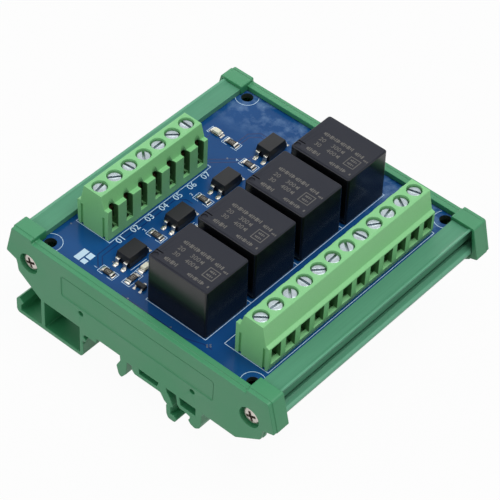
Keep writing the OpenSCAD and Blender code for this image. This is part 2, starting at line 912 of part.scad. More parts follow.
module relay_base(k) {
    color("black")
        at_relay(k)
            difference() {
                slab([relay_l - 2 * relay_wall - 2 * fit, relay_w - 2 * relay_wall - 2 * fit, relay_base_t]);
                for (p = relay_pin_spots)
                    translate([p[0], p[1], -over])
                        slab([relay_pin_size[0] + 2 * fit, relay_pin_size[1] + 2 * fit,
                            relay_base_t + 2 * over]);
            }
}

module relay_pins(k) {
    color("silver")
        at_relay(k)
            for (p = relay_pin_spots)
                translate([p[0], p[1], -board_t - tail_below])
                    slab([relay_pin_size[0], relay_pin_size[1], board_t + tail_below + relay_base_t]);
}

// Places a piece at the middle of optocoupler k
module at_opto(k) {
    at_board()
        translate([opto_x, channel_y(k), 0])
            children();
}

module optocoupler(k) {
    color("darkslategray")
        at_opto(k)
            hull() {
                translate([0, 0, opto_lift])
                    slab([opto_w - 0.4, opto_l - 0.4, 0.01]);
                translate([0, 0, opto_split])
                    slab([opto_w, opto_l, lead_t]);
                translate([0, 0, opto_h - 0.01])
                    slab([opto_w - 0.5, opto_l - 0.5, 0.01]);
            }
}

// Gull wing lead that leaves a body at y = out and z = level
function gull_wing(out, level, reach) = [
    [out, level + lead_t],
    [out, level],
    [out + 0.45, level, 0.15],
    [out + 0.65, 0, 0.15],
    [out + reach, 0],
    [out + reach, lead_t],
    [out + 0.85, lead_t, 0.1],
    [out + 0.65, level + lead_t, 0.25]
];

module optocoupler_leads(k) {
    color("lightgray")
        at_opto(k)
            for (x = [-opto_lead_x, opto_lead_x], turn = [0, 180])
                rotate([0, 0, turn])
                    along_x(x - opto_lead_w / 2, x + opto_lead_w / 2)
                        polygon(rounded(gull_wing(opto_l / 2, opto_split, opto_lead_reach), 3));
}

// Small signal transistor beside the near left corner of its relay
module at_transistor(k) {
    at_board()
        translate([transistor_place[0], channel_y(k) + transistor_place[1], 0])
            children();
}

module driver_transistor(k) {
    color("black")
        at_transistor(k)
            hull() {
                translate([0, 0, 0.1])
                    slab([transistor_size[0] - 0.1, transistor_size[1] - 0.1, 0.01]);
                translate([0, 0, 0.5])
                    slab([transistor_size[0], transistor_size[1], 0.15]);
                translate([0, 0, transistor_size[2] - 0.01])
                    slab([transistor_size[0] - 0.2, transistor_size[1] - 0.2, 0.01]);
            }
}

module transistor_leads() {
    color("lightgray")
        for (k = [1 : channels])
            at_transistor(k) {
                for (x = [-transistor_lead_x, transistor_lead_x])
                    rotate([0, 0, 180])
                        along_x(x - transistor_lead_w / 2, x + transistor_lead_w / 2)
                            polygon(small_lead(transistor_size[1] / 2, transistor_lead_z));
                along_x(-transistor_lead_w / 2, transistor_lead_w / 2)
                    polygon(small_lead(transistor_size[1] / 2, transistor_lead_z));
            }
}

// Thin lead bent down to the board
function small_lead(out, level) = [
    [out, level + small_lead_t],
    [out, level],
    [out + small_lead_t, level],
    [out + 0.2, 0],
    [out + small_lead_out, 0],
    [out + small_lead_out, small_lead_t],
    [out + 0.2 + small_lead_t, small_lead_t],
    [out + 0.12 + small_lead_t, level + small_lead_t]
];

// Diode across the coil of each relay, lying along the carrier
module at_diode(k) {
    at_board()
        translate([diode_place[0], channel_y(k) + diode_place[1], 0])
            children();
}

module flyback_diode(k) {
    color("black")
        at_diode(k)
            hull() {
                translate([0, 0, 0.15])
                    slab([diode_size[0] - 0.3, diode_size[1] - 0.3, 0.01]);
                translate([0, 0, 1])
                    slab([diode_size[0], diode_size[1], 0.2]);
                translate([0, 0, diode_size[2] - 0.01])
                    slab([diode_size[0] - 0.4, diode_size[1] - 0.4, 0.01]);
            }
}

module diode_leads() {
    color("lightgray")
        for (k = [1 : channels])
            at_diode(k)
                for (turn = [0, 180])
                    rotate([0, 0, turn])
                        along_x(-diode_lead_w / 2, diode_lead_w / 2)
                            polygon(small_lead(diode_size[1] / 2, diode_lead_z));
}

// Places a chip from its entry in the list of places
module at_chip(place, y) {
    at_board()
        translate([place[0], y + place[1], 0])
            rotate([0, 0, place[2]])
                children();
}

// Ceramic body of a chip resistor, between its two end caps
module chip_body() {
    translate([0, 0, chip_lift])
        slab([chip_l - 2 * chip_cap, chip_w, chip_h]);
}

// Clear dome of a chip lamp on its white substrate
module lamp_body() {
    slab([chip_l - 2 * chip_cap, chip_w, lamp_base_h]);
    translate([0, 0, lamp_base_h])
        drafted([chip_l - 2 * chip_cap, chip_w - 0.1],
            [chip_l - 2 * chip_cap - 0.3, chip_w - 0.3], lamp_dome_h, 0.1);
}

module input_resistor(k) {
    color("dimgray")
        at_chip(input_resistor_place, channel_y(k))
            chip_body();
}

module base_resistor(k) {
    color("dimgray")
        at_chip(base_resistor_place, channel_y(k))
            chip_body();
}

module channel_led(k) {
    color("ivory")
        at_chip(channel_led_place, channel_y(k))
            lamp_body();
}

module power_resistor() {
    color("dimgray")
        at_chip(power_resistor_place, 0)
            chip_body();
}

module power_led() {
    color("ivory")
        at_chip(power_led_place, 0)
            lamp_body();
}

// Tinned caps at both ends of every chip
module chip_end_caps() {
    color("silver") {
        for (k = [1 : channels], place = [input_resistor_place, base_resistor_place, channel_led_place])
            at_chip(place, channel_y(k))
                cap_pair();
        for (place = [power_resistor_place, power_led_place])
            at_chip(place, 0)
                cap_pair();
    }
}

module cap_pair() {
    for (s = [-1, 1])
        translate([s * (chip_l - chip_cap) / 2, 0, 0])
            slab([chip_cap, chip_w, cap_h]);
}

// Solder cones around the pins under the board
module solder_joints() {
    color("silver")
        at_board()
            for (p = concat(
                    [for (s = tail_spots()) [s[0], s[1], leg_x[1] - leg_x[0], tail_w]],
                    [for (s = relay_spots()) [s[0], s[1], relay_pin_size[0], relay_pin_size[1]]]))
                translate([p[0], p[1], -board_t])
                    difference() {
                        rotate([180, 0, 0])
                            cylinder(d1 = joint_d, d2 = joint_tip_d, h = joint_h, $fn = 20);
                        translate([0, 0, -joint_h - over])
                            slab([p[2], p[3], joint_h + 2 * over]);
                    }
}

carrier_profile();
front_end_plate();
rear_end_plate();
end_plate_screws();
circuit_board();
input_terminal_body();
input_terminal_screws();
input_terminal_cages();
input_terminal_contacts();
output_terminal_body();
output_terminal_screws();
output_terminal_cages();
output_terminal_contacts();
relay_case(1);  // relay_case_1
relay_case(2);  // relay_case_2
relay_case(3);  // relay_case_3
relay_case(4);  // relay_case_4
relay_base(1);  // relay_base_1
relay_base(2);  // relay_base_2
relay_base(3);  // relay_base_3
relay_base(4);  // relay_base_4
relay_pins(1);  // relay_pins_1
relay_pins(2);  // relay_pins_2
relay_pins(3);  // relay_pins_3
relay_pins(4);  // relay_pins_4
optocoupler(1);  // optocoupler_1
optocoupler(2);  // optocoupler_2
optocoupler(3);  // optocoupler_3
optocoupler(4);  // optocoupler_4
optocoupler_leads(1);  // optocoupler_leads_1
optocoupler_leads(2);  // optocoupler_leads_2
optocoupler_leads(3);  // optocoupler_leads_3
optocoupler_leads(4);  // optocoupler_leads_4
driver_transistor(1);  // driver_transistor_1
driver_transistor(2);  // driver_transistor_2
driver_transistor(3);  // driver_transistor_3
driver_transistor(4);  // driver_transistor_4
flyback_diode(1);  // flyback_diode_1
flyback_diode(2);  // flyback_diode_2
flyback_diode(3);  // flyback_diode_3
flyback_diode(4);  // flyback_diode_4
channel_led(1);  // channel_led_1
channel_led(2);  // channel_led_2
channel_led(3);  // channel_led_3
channel_led(4);  // channel_led_4
input_resistor(1);  // input_resistor_1
input_resistor(2);  // input_resistor_2
input_resistor(3);  // input_resistor_3
input_resistor(4);  // input_resistor_4
base_resistor(1);  // base_resistor_1
base_resistor(2);  // base_resistor_2
base_resistor(3);  // base_resistor_3
base_resistor(4);  // base_resistor_4
power_led();
power_resistor();
transistor_leads();
diode_leads();
chip_end_caps();
solder_joints();
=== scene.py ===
import math

import bmesh
import bpy
from mathutils import Matrix, Quaternion, Vector


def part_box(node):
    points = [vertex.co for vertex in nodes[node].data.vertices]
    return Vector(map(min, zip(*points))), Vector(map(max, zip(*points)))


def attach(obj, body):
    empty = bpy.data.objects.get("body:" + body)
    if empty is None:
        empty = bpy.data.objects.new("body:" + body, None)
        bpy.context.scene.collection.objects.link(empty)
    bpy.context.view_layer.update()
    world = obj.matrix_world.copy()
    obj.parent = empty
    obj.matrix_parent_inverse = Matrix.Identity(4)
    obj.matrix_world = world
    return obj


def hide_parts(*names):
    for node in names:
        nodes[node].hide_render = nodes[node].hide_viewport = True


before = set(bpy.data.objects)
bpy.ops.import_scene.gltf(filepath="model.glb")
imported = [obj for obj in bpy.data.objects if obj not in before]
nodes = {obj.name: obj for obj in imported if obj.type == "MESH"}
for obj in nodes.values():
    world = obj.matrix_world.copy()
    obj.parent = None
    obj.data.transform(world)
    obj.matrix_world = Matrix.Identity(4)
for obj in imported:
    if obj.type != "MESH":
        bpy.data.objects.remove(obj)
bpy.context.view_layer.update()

scene = bpy.context.scene
MM = 0.001

# Camera
# It stands over the near right corner, 39 degrees round and 46 degrees up,
# with the slight tilt of the hand-held shot.
camera_place = Vector((0.2451549, -0.3013710, 0.4194063))
camera_aim = Vector((0.0042554, -0.0048223, 0.0264))
camera_roll = math.radians(3.004)


def put_in_scene(name, data):
    """An object of the data, linked to the scene."""
    made = bpy.data.objects.new(name, data)
    scene.collection.objects.link(made)
    return made


camera_data = bpy.data.cameras.new("photo_camera")
camera_data.sensor_width = 36
camera_data.lens = 164.31
camera_data.clip_start = 0.01
camera_data.clip_end = 20
camera = put_in_scene("photo_camera", camera_data)
camera.rotation_mode = "QUATERNION"
camera.location = camera_place
camera.rotation_quaternion = (
    (camera_aim - camera_place).to_track_quat("-Z", "Y")
    @ Quaternion((0, 0, 1), camera_roll)
)
scene.camera = camera
scene.view_settings.view_transform = "Standard"

# Studio
# A pale floor that keeps a faint shadow, an even white surround, and three
# large soft lamps: one overhead, one low at the front and one low behind.
white = (1, 1, 1, 1)
ambient_level = 0.42
floor_half = 6
floor_drop = 0.0002
floor_glow = 0.96
lamp_aim = Vector((0, 0, 0.02))
lamps = (
    ("key_lamp", (0.26, 0.12, 1.0), 0.6, 6.4),
    ("front_lamp", (-0.35, -0.9, 0.45), 0.5, 2.1),
    ("rear_lamp", (-0.7, 0.8, 0.4), 0.6, 1.6),
)


def add_node(tree, kind, inputs=None, **settings):
    """A node with its settings; each input is given its value, or joined if that is a socket."""
    made = tree.nodes.new(kind)
    for name, value in settings.items():
        setattr(made, name, value)
    for name, value in (inputs or {}).items():
        if isinstance(value, bpy.types.NodeSocket):
            tree.links.new(value, made.inputs[name])
        else:
            made.inputs[name].default_value = value
    return made


def reckon(tree, operation, *values):
    """The result of a Math node."""
    return add_node(tree, "ShaderNodeMath", dict(enumerate(values)), operation=operation).outputs[0]


def direct_view(tree):
    """1 where a ray comes straight from the camera, or by a mirror or through glass."""
    path = add_node(tree, "ShaderNodeLightPath").outputs
    straight = reckon(tree, "MAXIMUM", path["Is Camera Ray"], path["Is Glossy Ray"])
    return reckon(tree, "MAXIMUM", straight, path["Is Transmission Ray"])


def new_material(name):
    """An empty node material with its tree and its shader."""
    made = bpy.data.materials.new(name)
    made.use_nodes = True
    return made, made.node_tree, made.node_tree.nodes["Principled BSDF"]


def as_object(name, shape):
    """An object of the shape, put in the scene; the shape is used up."""
    mesh = bpy.data.meshes.new(name)
    shape.to_mesh(mesh)
    shape.free()
    return put_in_scene(name, mesh)


world = bpy.data.worlds.new("studio")
scene.world = world
world.use_nodes = True
tree = world.node_tree
plain = tree.nodes["Background"]
plain.inputs["Color"].default_value = white
plain.inputs["Strength"].default_value = ambient_level
bright = add_node(tree, "ShaderNodeBackground", {"Color": white, "Strength": 1})
seen = add_node(tree, "ShaderNodeMixShader", {
    0: direct_view(tree), 1: plain.outputs[0], 2: bright.outputs[0],
})
tree.links.new(seen.outputs[0], tree.nodes["World Output"].inputs["Surface"])
for name, place, size, power in lamps:
    data = bpy.data.lights.new(name, "AREA")
    data.shape = "SQUARE"
    data.size = size
    data.energy = power
    lamp = put_in_scene(name, data)
    lamp.location = place
    lamp.rotation_euler = (lamp_aim - Vector(place)).to_track_quat("-Z", "Y").to_euler()

floor_shape = bmesh.new()
bmesh.ops.create_grid(floor_shape, x_segments=1, y_segments=1, size=floor_half)
floor = as_object("floor", floor_shape)
floor.location.z = -floor_drop
floor_paint, tree, shader = new_material("floor_paint")
shader.inputs["Base Color"].default_value = (0.5, 0.5, 0.5, 1)
shader.inputs["Roughness"].default_value = 0.8
glow = add_node(tree, "ShaderNodeEmission", {"Strength": 1})
mixed = add_node(tree, "ShaderNodeMixShader", {
    0: reckon(tree, "MULTIPLY", direct_view(tree), floor_glow), 1: shader.outputs[0], 2: glow.outputs[0],
})
tree.links.new(mixed.outputs[0], tree.nodes["Material Output"].inputs["Surface"])
floor.data.materials.append(floor_paint)

# Carrier profile
# An extruded channel of rigid green plastic, 77 mm long. It leaves the die with
# fine lines along its length and a satin skin, and is sawn off square.
profile_green = (0.335, 0.580, 0.462)
extruded_edge = 0.11
weld = 0.002 * MM
board_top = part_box("circuit_board")[1].z
label_slot_x = (37.95 * MM, 39.02 * MM)
label_slot_z = (board_top - 4.4 * MM, board_top - 3.5 * MM)


def linear(colour):
    """A colour given as it looks on screen, as the shader wants it."""
    return tuple(c / 12.92 if c <= 0.04045 else ((c + 0.055) / 1.055) ** 2.4 for c in colour) + (1,)


def new_group(name, kind, inputs, outputs):
    """A node group and its given values; inputs are (name, kind, value), outputs (name, kind)."""
    tree = bpy.data.node_groups.new(name, kind)
    for label, sort, value in inputs:
        socket = tree.interface.new_socket(name=label, in_out="INPUT", socket_type="NodeSocket" + sort)
        if value is not None:
            socket.default_value = value
    for label, sort in outputs:
        tree.interface.new_socket(name=label, in_out="OUTPUT", socket_type="NodeSocket" + sort)
    return tree, add_node(tree, "NodeGroupInput").outputs


def noise(tree, place, scale, detail, **more):
    """The value of a Noise Texture."""
    inputs = {"Vector": place, "Scale": scale, "Detail": detail, **more}
    return add_node(tree, "ShaderNodeTexNoise", inputs).outputs["Fac"]


def remap(tree, value, from_low, from_high, to_low, to_high):
    """The result of a Map Range node."""
    return add_node(tree, "ShaderNodeMapRange", {
        "Value": value, "From Min": from_low, "From Max": from_high, "To Min": to_low, "To Max": to_high,
    }).outputs[0]


def scaled(tree, colour, factor):
    """The colour, lighter or darker by the factor."""
    inputs = {0: colour, "Scale": factor}
    return add_node(tree, "ShaderNodeVectorMath", inputs, operation="SCALE").outputs[0]


skin_outputs = (("Colour", "Color"), ("Roughness", "Float"), ("Height", "Float"))


def build_skin_group():
    """Colour, roughness and height of a skin: cloudy tone, fine grain and specks."""
    tree, given = new_group("plastic_skin", "ShaderNodeTree", (
        ("Colour", "Color", (0.5, 0.5, 0.5, 1)), ("Roughness", "Float", 0.45), ("Grain size", "Float", 4000),
        ("Tone", "Float", 0.06), ("Stretch", "Vector", (1, 1, 1)),
    ), skin_outputs)
    place = add_node(tree, "ShaderNodeTexCoord").outputs["Object"]
    drawn = add_node(tree, "ShaderNodeVectorMath", {0: place, 1: given["Stretch"]}, operation="MULTIPLY")
    grain = noise(tree, drawn.outputs[0], given["Grain size"], 3)
    cloud = noise(tree, place, 70, 4)
    tone = remap(tree, cloud, 0.3, 0.7, reckon(tree, "SUBTRACT", 1, given["Tone"]), 1)
    speck = remap(tree, grain, 0.35, 0.65, 0.96, 1.03)
    wander = remap(tree, cloud, 0.3, 0.7, -0.06, 0.06)
    add_node(tree, "NodeGroupOutput", {
        "Colour": scaled(tree, given["Colour"], reckon(tree, "MULTIPLY", tone, speck)),
        "Roughness": reckon(tree, "ADD", wander, given["Roughness"]), "Height": grain,
    })
    return tree


skin_group = build_skin_group()


def join_skin(tree, shader, colour, roughness, height, bump, depth):
    """Gives the shader its colour, roughness and relief; depth in mm."""
    dent = add_node(tree, "ShaderNodeBump", {"Strength": bump, "Distance": depth * MM, "Height": height})
    tree.links.new(colour, shader.inputs["Base Color"])
    tree.links.new(roughness, shader.inputs["Roughness"])
    tree.links.new(dent.outputs["Normal"], shader.inputs["Normal"])


def dressed(name, group, colour, roughness, bump, depth, more):
    """A material that takes its colour, roughness and relief from a group with these values."""
    made, tree, shader = new_material(name)
    values = {"Colour": linear(colour), "Roughness": roughness, **more}
    skin = add_node(tree, "ShaderNodeGroup", values, node_tree=group).outputs
    join_skin(tree, shader, skin["Colour"], skin["Roughness"], skin["Height"], bump, depth)
    return made, shader


def plastic(name, colour, roughness=0.45, grain=4000, tone=0.06, bump=0.12, depth=0.01,
            stretch=(1, 1, 1), shine=0.5):
    """A moulded or extruded plastic with the shared skin; colour as it looks on screen."""
    more = {"Grain size": grain, "Tone": tone, "Stretch": stretch}
    made, shader = dressed(name, skin_group, colour, roughness, bump, depth, more)
    shader.inputs["Specular IOR Level"].default_value = shine
    return made


def evaluated_mesh(piece):
    """A plain mesh of the piece as its modifiers leave it."""
    bpy.context.view_layer.update()
    return bpy.data.meshes.new_from_object(piece.evaluated_get(bpy.context.evaluated_depsgraph_get()))


def settle(piece):
    """Turns the piece and its modifiers into one plain mesh."""
    mesh = evaluated_mesh(piece)
    piece.modifiers.clear()
    piece.data = mesh
    return mesh


def finished(piece, sharp=34):
    """Settles the piece, shaded smooth between its sharp edges and flat on its faces."""
    mesh = settle(piece)
    shape = bmesh.new()
    shape.from_mesh(mesh)
    for face in shape.faces:
        face.smooth = True
    for edge in shape.edges:
        edge.smooth = edge.is_manifold and edge.calc_face_angle(0) < math.radians(sharp)
    shape.to_mesh(mesh)
    shape.free()
    flat = piece.modifiers.new("flat_faces", "WEIGHTED_NORMAL")
    flat.keep_sharp = True
    flat.weight = 90
    settle(piece)
    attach(piece, "root")


def join_flat(shape):
    """Makes one face of the triangles of each flat face; a face with holes keeps its triangles."""
    shape.faces.index_update()
    found = set()
    regions = []
    for first in shape.faces:
        if first.index in found:
            continue
        found.add(first.index)
        region = [first]
        for face in region:
            for edge in face.edges:
                for other in edge.link_faces:
                    if other.index not in found and other.normal.dot(first.normal) > 0.99999:
                        found.add(other.index)
                        region.append(other)
        regions.append(region)
    for region in regions:
        if len(region) < 2:
            continue
        inside = set(region)
        rim = {e for f in region for e in f.edges if sum(g in inside for g in e.link_faces) == 1}
        corners = {}
        for edge in rim:
            for vert in edge.verts:
                corners.setdefault(vert, []).append(edge)
        if any(len(edges) != 2 for edges in corners.values()):
            continue
        start = edge = next(iter(rim))
        vert, walked = edge.verts[0], 0
        while True:
            walked += 1
            vert = edge.other_vert(vert)
            edge = next(e for e in corners[vert] if e is not edge)
            if edge is start:
                break
        if walked == len(rim):
            bmesh.utils.face_join(region)


def cut_away(piece, cutter_shape):
    """Takes the closed cutter out of the piece."""
    cutter = as_object("cutter", cutter_shape)
    cut = piece.modifiers.new("recess", "BOOLEAN")
    cut.operation = "DIFFERENCE"
    cut.solver = "EXACT"
    cut.object = cutter
    settle(piece)
    bpy.data.objects.remove(cutter)


def add_block(shape, low, high, taper=0.0):
    """A box from low to high, its foot drawn in by taper on each side."""
    for v in bmesh.ops.create_cube(shape, size=1)["verts"]:
        unit = v.co + Vector((0.5, 0.5, 0.5))
        v.co = [low[k] + unit[k] * (high[k] - low[k]) for k in range(3)]
        if unit.z < 0.5:
            v.co.x += taper if unit.x < 0.5 else -taper
            v.co.y += taper if unit.y < 0.5 else -taper


def soften(node, material, width, segments=2, corner=33, pockets=None, reshape=None):
    """A copy of a CAD solid, its sharp edges rounded as a mould or a die leaves them."""
    mesh = nodes[node].data.copy()
    piece = put_in_scene(node + "_shown", mesh)
    shape = bmesh.new()
    shape.from_mesh(mesh)
    bmesh.ops.remove_doubles(shape, verts=shape.verts, dist=weld)
    if reshape:
        reshape(shape)
    if pockets:
        shape.to_mesh(mesh)
        cut_away(piece, pockets)
        mesh = piece.data
        shape.clear()
        shape.from_mesh(mesh)
        bmesh.ops.remove_doubles(shape, verts=shape.verts, dist=weld)
        bmesh.ops.triangulate(shape, faces=[f for f in shape.faces if len(f.verts) > 3])
    shape.normal_update()
    join_flat(shape)
    shape.to_mesh(mesh)
    shape.free()
    mesh.materials.clear()
    mesh.materials.append(material)
    edges = piece.modifiers.new("edges", "BEVEL")
    edges.width = width * MM
    edges.segments = segments
    edges.limit_method = "ANGLE"
    edges.angle_limit = math.radians(corner)
    edges.use_clamp_overlap = False
    edges.loop_slide = False
    finished(piece)
    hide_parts(node)
    return piece


profile_skin = plastic(
    "extruded_green", profile_green, roughness=0.36, grain=2600, tone=0.05,
    bump=0.25, depth=0.012, stretch=(1, 0.02, 1), shine=0.2,
)


def deepen_groove(shape):
    """Cuts the groove under each bead deeper and curved, and eases the bead's outline."""
    bead, wall, rim, bulge, lip = 1.7 * MM, 39.2 * MM, 40.2 * MM, 41.0 * MM, 34.7 * MM
    undercut, tuck, tilt, overhang = 0.6 * MM, 0.35 * MM, 0.2 * MM, 0.3 * MM
    # Points of the new outline in mm: across, and up from the board's top.
    groove_top, corner, bend, swell, nose = (
        Vector((x * MM, board_top + up * MM))
        for x, up in ((39.0, 0.7), (38.6, -3.7), (39.3, -4.6), (40.6, -4.25), (41.0, -4.75))
    )
    spots = {}
    for vert in shape.verts:
        x, up = abs(vert.co.x), vert.co.z - board_top
        in_groove = nose.y - board_top < up < 0.72 * MM
        if wall - 0.3 * MM < x < bulge - 0.05 * MM and in_groove:
            spots.setdefault(round(vert.co.z * 1e6), []).append(vert)
        elif abs(x - wall) < 0.12 * MM and abs(up - bead) < 0.06 * MM:
            vert.co.x *= (wall - undercut) / wall
        elif rim - 0.3 * MM < x < rim + 0.1 * MM and 0.9 * MM < up < 1.5 * MM:
            vert.co.x -= math.copysign(tuck, vert.co.x)
        elif wall + 0.1 * MM < x < rim + 0.1 * MM and up > 1.55 * MM:
            vert.co.z += tilt * min(1, (x - wall) / (0.65 * MM))
        elif abs(x - lip) < 0.02 * MM and up > 0:
            vert.co.x *= (lip - overhang) / lip
    order = sorted(spots, reverse=True)
    half = len(order) // 2
    for k, key in enumerate(order):
        if k < half:
            place = groove_top.lerp(corner, (k / max(1, half - 1)) ** 0.5)
        else:
            t = (k - half + 1) / (len(order) - half + 1)
            inner, outer = corner.lerp(bend, t), swell.lerp(nose, t)
            middle = bend.lerp(swell, t)
            place = inner.lerp(middle, t).lerp(middle.lerp(outer, t), t)
        for vert in spots[key]:
            vert.co.x = math.copysign(place.x, vert.co.x)
            vert.co.z = place.y


# A dark slot for labels lies low behind each groove.
label_slots = bmesh.new()
for way in (-1, 1):
    inner, outer = sorted(way * x for x in label_slot_x)
    add_block(label_slots, (inner, -45 * MM, label_slot_z[0]), (outer, 45 * MM, label_slot_z[1]))
carrier = soften(
    "carrier_profile", profile_skin, extruded_edge,
    pockets=label_slots, reshape=deepen_groove,
)
# A lighter, glossier green is painted on the rim of each bead and the outer edge of each side: a painted
# highlight.
highlight_rim_x, highlight_rim_up = (39.42 * MM, 39.95 * MM), 1.9 * MM
highlight_edge_x, highlight_edge_up = 40.45 * MM, (-5.6 * MM, -4.2 * MM)
painted_highlight_skin = plastic(
    "painted_highlight_green", (0.40, 0.655, 0.532), roughness=0.3, grain=2600, tone=0.08,
    bump=0.25, depth=0.012, stretch=(1, 0.02, 1), shine=0.3,
)
carrier.data.materials.append(painted_highlight_skin)
for face in carrier.data.polygons:
    out, up = abs(face.center.x), face.center.z - board_top
    on_rim = highlight_rim_x[0] < out < highlight_rim_x[1] and up > highlight_rim_up
    on_edge = out > highlight_edge_x and highlight_edge_up[0] < up < highlight_edge_up[1]
    if on_rim or on_edge:
        face.material_index = 1

# End plates
# Two moulded plates of matt green plastic, mirror images of each other, that
# close the channel and carry the feet for the rail.
end_plate_green = (0.20, 0.535, 0.355)
end_plate_skin = plastic(
    "moulded_green", end_plate_green, roughness=0.5, grain=5200, tone=0.07, bump=0.35, depth=0.02,
    shine=0.68,
)
for end in ("front_end_plate", "rear_end_plate"):
    soften(end, end_plate_skin, 0.17, segments=3)

# End plate screws
# Four nickel plated pan head screws with a cross recess, sunk in their
# counterbores; each cuts its own thread in a port of the channel.
plate_screw_low, plate_screw_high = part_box("end_plate_screws")
plate_screw_z = (plate_screw_low.z + plate_screw_high.z) / 2
plate_head_r = (plate_screw_high.z - plate_screw_low.z) / 2
plate_screw_x = plate_screw_high.x - plate_head_r
plate_head_h = 0.9 * MM
plate_shank_r = 1.24 * MM
plate_shank_l = 7.9 * MM
cross_turns = (20, 110)
cross_reach, cross_half = 1.55 * MM, 0.42 * MM
cross_depth, cross_taper = 0.75 * MM, 0.22 * MM


def build_metal_group():
    """Tone and roughness of a plated or drawn metal: fine scratches and cloudy dullness."""
    tree, given = new_group("worn_metal", "ShaderNodeTree", (
        ("Colour", "Color", (0.8, 0.8, 0.8, 1)), ("Roughness", "Float", 0.3), ("Scratch size", "Float", 900),
    ), skin_outputs)
    place = add_node(tree, "ShaderNodeTexCoord").outputs["Object"]
    drawn = add_node(tree, "ShaderNodeMapping", {
        "Vector": place, "Rotation": (0.3, 0.2, 0.7), "Scale": (1, 9, 1),
    })
    scratch = noise(tree, drawn.outputs[0], given["Scratch size"], 5)
    tone = remap(tree, noise(tree, place, 420, 3), 0.3, 0.7, 0.82, 1.04)
    wander = remap(tree, scratch, 0.35, 0.65, -0.08, 0.1)
    add_node(tree, "NodeGroupOutput", {
        "Colour": scaled(tree, given["Colour"], tone),
        "Roughness": reckon(tree, "ADD", wander, given["Roughness"]), "Height": scratch,
    })
    return tree


metal_group = build_metal_group()


def metal(name, colour, roughness=0.3, scratch=900, bump=0.15, depth=0.01):
    """A plated metal with the shared wear; colour as it looks on screen."""
    made, shader = dressed(name, metal_group, colour, roughness, bump, depth, {"Scratch size": scratch})
    shader.inputs["Metallic"].default_value = 1
    return made


def turned(profile, steps=48):
    """A solid turned about Z from (radius, height) points; a radius of 0 closes it."""
    shape = bmesh.new()
    rings = []
    for radius, z in profile:
        if radius < 1e-7:
            rings.append([shape.verts.new((0, 0, z))])
            continue
        rings.append([
            shape.verts.new((radius * math.cos(a), radius * math.sin(a), z))
            for a in (2 * math.pi * k / steps for k in range(steps))
        ])
    for lower, upper in zip(rings, rings[1:]):
        for k in range(steps):
            corners = [lower[k % len(lower)], lower[(k + 1) % len(lower)],
                       upper[(k + 1) % len(upper)], upper[k % len(upper)]]
            shape.faces.new(list(dict.fromkeys(corners)))
    bmesh.ops.recalc_face_normals(shape, faces=shape.faces)
    return shape


def end_tree(tree, pieces, paint):
    """Ends a tree with real copies of the pieces in one material."""
    real = add_node(tree, "GeometryNodeRealizeInstances", {0: pieces})
    painted = add_node(tree, "GeometryNodeSetMaterial", {"Geometry": real.outputs[0], "Material": paint})
    add_node(tree, "NodeGroupOutput", {0: painted.outputs[0]})
    return tree


def build_corner_tree():
    """Copies a screw across the plate, and both round to the other end."""
    tree, given = new_group("screws_at_both_ends", "GeometryNodeTree", (
        ("Screw", "Geometry", None), ("Spacing", "Float", 0.07), ("Metal", "Material", None),
    ), (("Screws", "Geometry"),))
    across = add_node(tree, "ShaderNodeCombineXYZ", {"X": given["Spacing"]})
    row = add_node(tree, "GeometryNodeMeshLine", {
        "Count": 2, "Start Location": (0, 0, 0), "Offset": across.outputs[0],
    })
    near = add_node(tree, "GeometryNodeInstanceOnPoints", {
        "Points": row.outputs[0], "Instance": given["Screw"],
    })
    far = add_node(tree, "GeometryNodeTransform", {0: near.outputs[0], "Rotation": (0, 0, math.pi)})
    both = add_node(tree, "GeometryNodeJoinGeometry", {0: near.outputs[0]})
    tree.links.new(far.outputs[0], both.inputs[0])
    return end_tree(tree, both.outputs[0], given["Metal"])


def run_tree(piece, tree, values):
    """Puts a tree on the piece; its inputs are found by name and set by identifier."""
    modifier = piece.modifiers.new(tree.name, "NODES")
    modifier.node_group = tree
    for item in tree.interface.items_tree:
        if item.in_out == "INPUT" and item.name in values:
            modifier[item.identifier] = values[item.name]


def plate_screw():
    """One screw with its thread and cross recess, in its place in the front plate."""
    r, h = plate_head_r, plate_head_h
    turns = 14
    shank = [(plate_shank_r, 0)]
    for k in range(turns):
        z = -plate_shank_l * (k + 0.3) / turns
        shank += [(plate_shank_r, z), (plate_shank_r * 0.84, z - plate_shank_l * 0.35 / turns)]
    profile = [(0, -plate_shank_l), (plate_shank_r * 0.4, -plate_shank_l)] + shank[::-1]
    profile += [(r * 0.96, 0), (r, h * 0.08), (r, h * 0.45), (r * 0.97, h * 0.64), (r * 0.88, h * 0.82),
                (r * 0.7, h * 0.94), (r * 0.4, h), (0, h)]
    piece = as_object("plate_screws_shown", turned(profile, 56))
    for angle in cross_turns:
        cutter = bmesh.new()
        add_block(cutter, (-cross_reach, -cross_half, -cross_depth), (cross_reach, cross_half, 1.2 * MM),
                  cross_taper)
        bmesh.ops.rotate(cutter, verts=cutter.verts, matrix=Matrix.Rotation(math.radians(angle), 3, "Z"))
        cut_away(piece, cutter)
    place = Matrix.Translation((-plate_screw_x, plate_screw_low.y + plate_head_h, plate_screw_z))
    piece.data.transform(place @ Matrix.Rotation(math.pi / 2, 4, "X"))
    return piece


nickel = metal("nickel_plate", (0.80, 0.77, 0.74), roughness=0.3)
plate_screws = plate_screw()
run_tree(plate_screws, build_corner_tree(), {"Spacing": 2 * plate_screw_x, "Metal": nickel})
finished(plate_screws, sharp=28)
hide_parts("end_plate_screws")

# Circuit board
# Glass fibre sheet, 1.6 mm thick, with copper under a glossy blue mask. White
# print frames the components, and bare copper is tinned.
print_height = 0.02 * MM
trace_height = 0.012 * MM


def blend_colours(tree, factor, first, second):
    """The colour between two, by the factor."""
    inputs = {"Factor": factor, "A": first, "B": second}
    return add_node(tree, "ShaderNodeMix", inputs, data_type="RGBA").outputs["Result"]


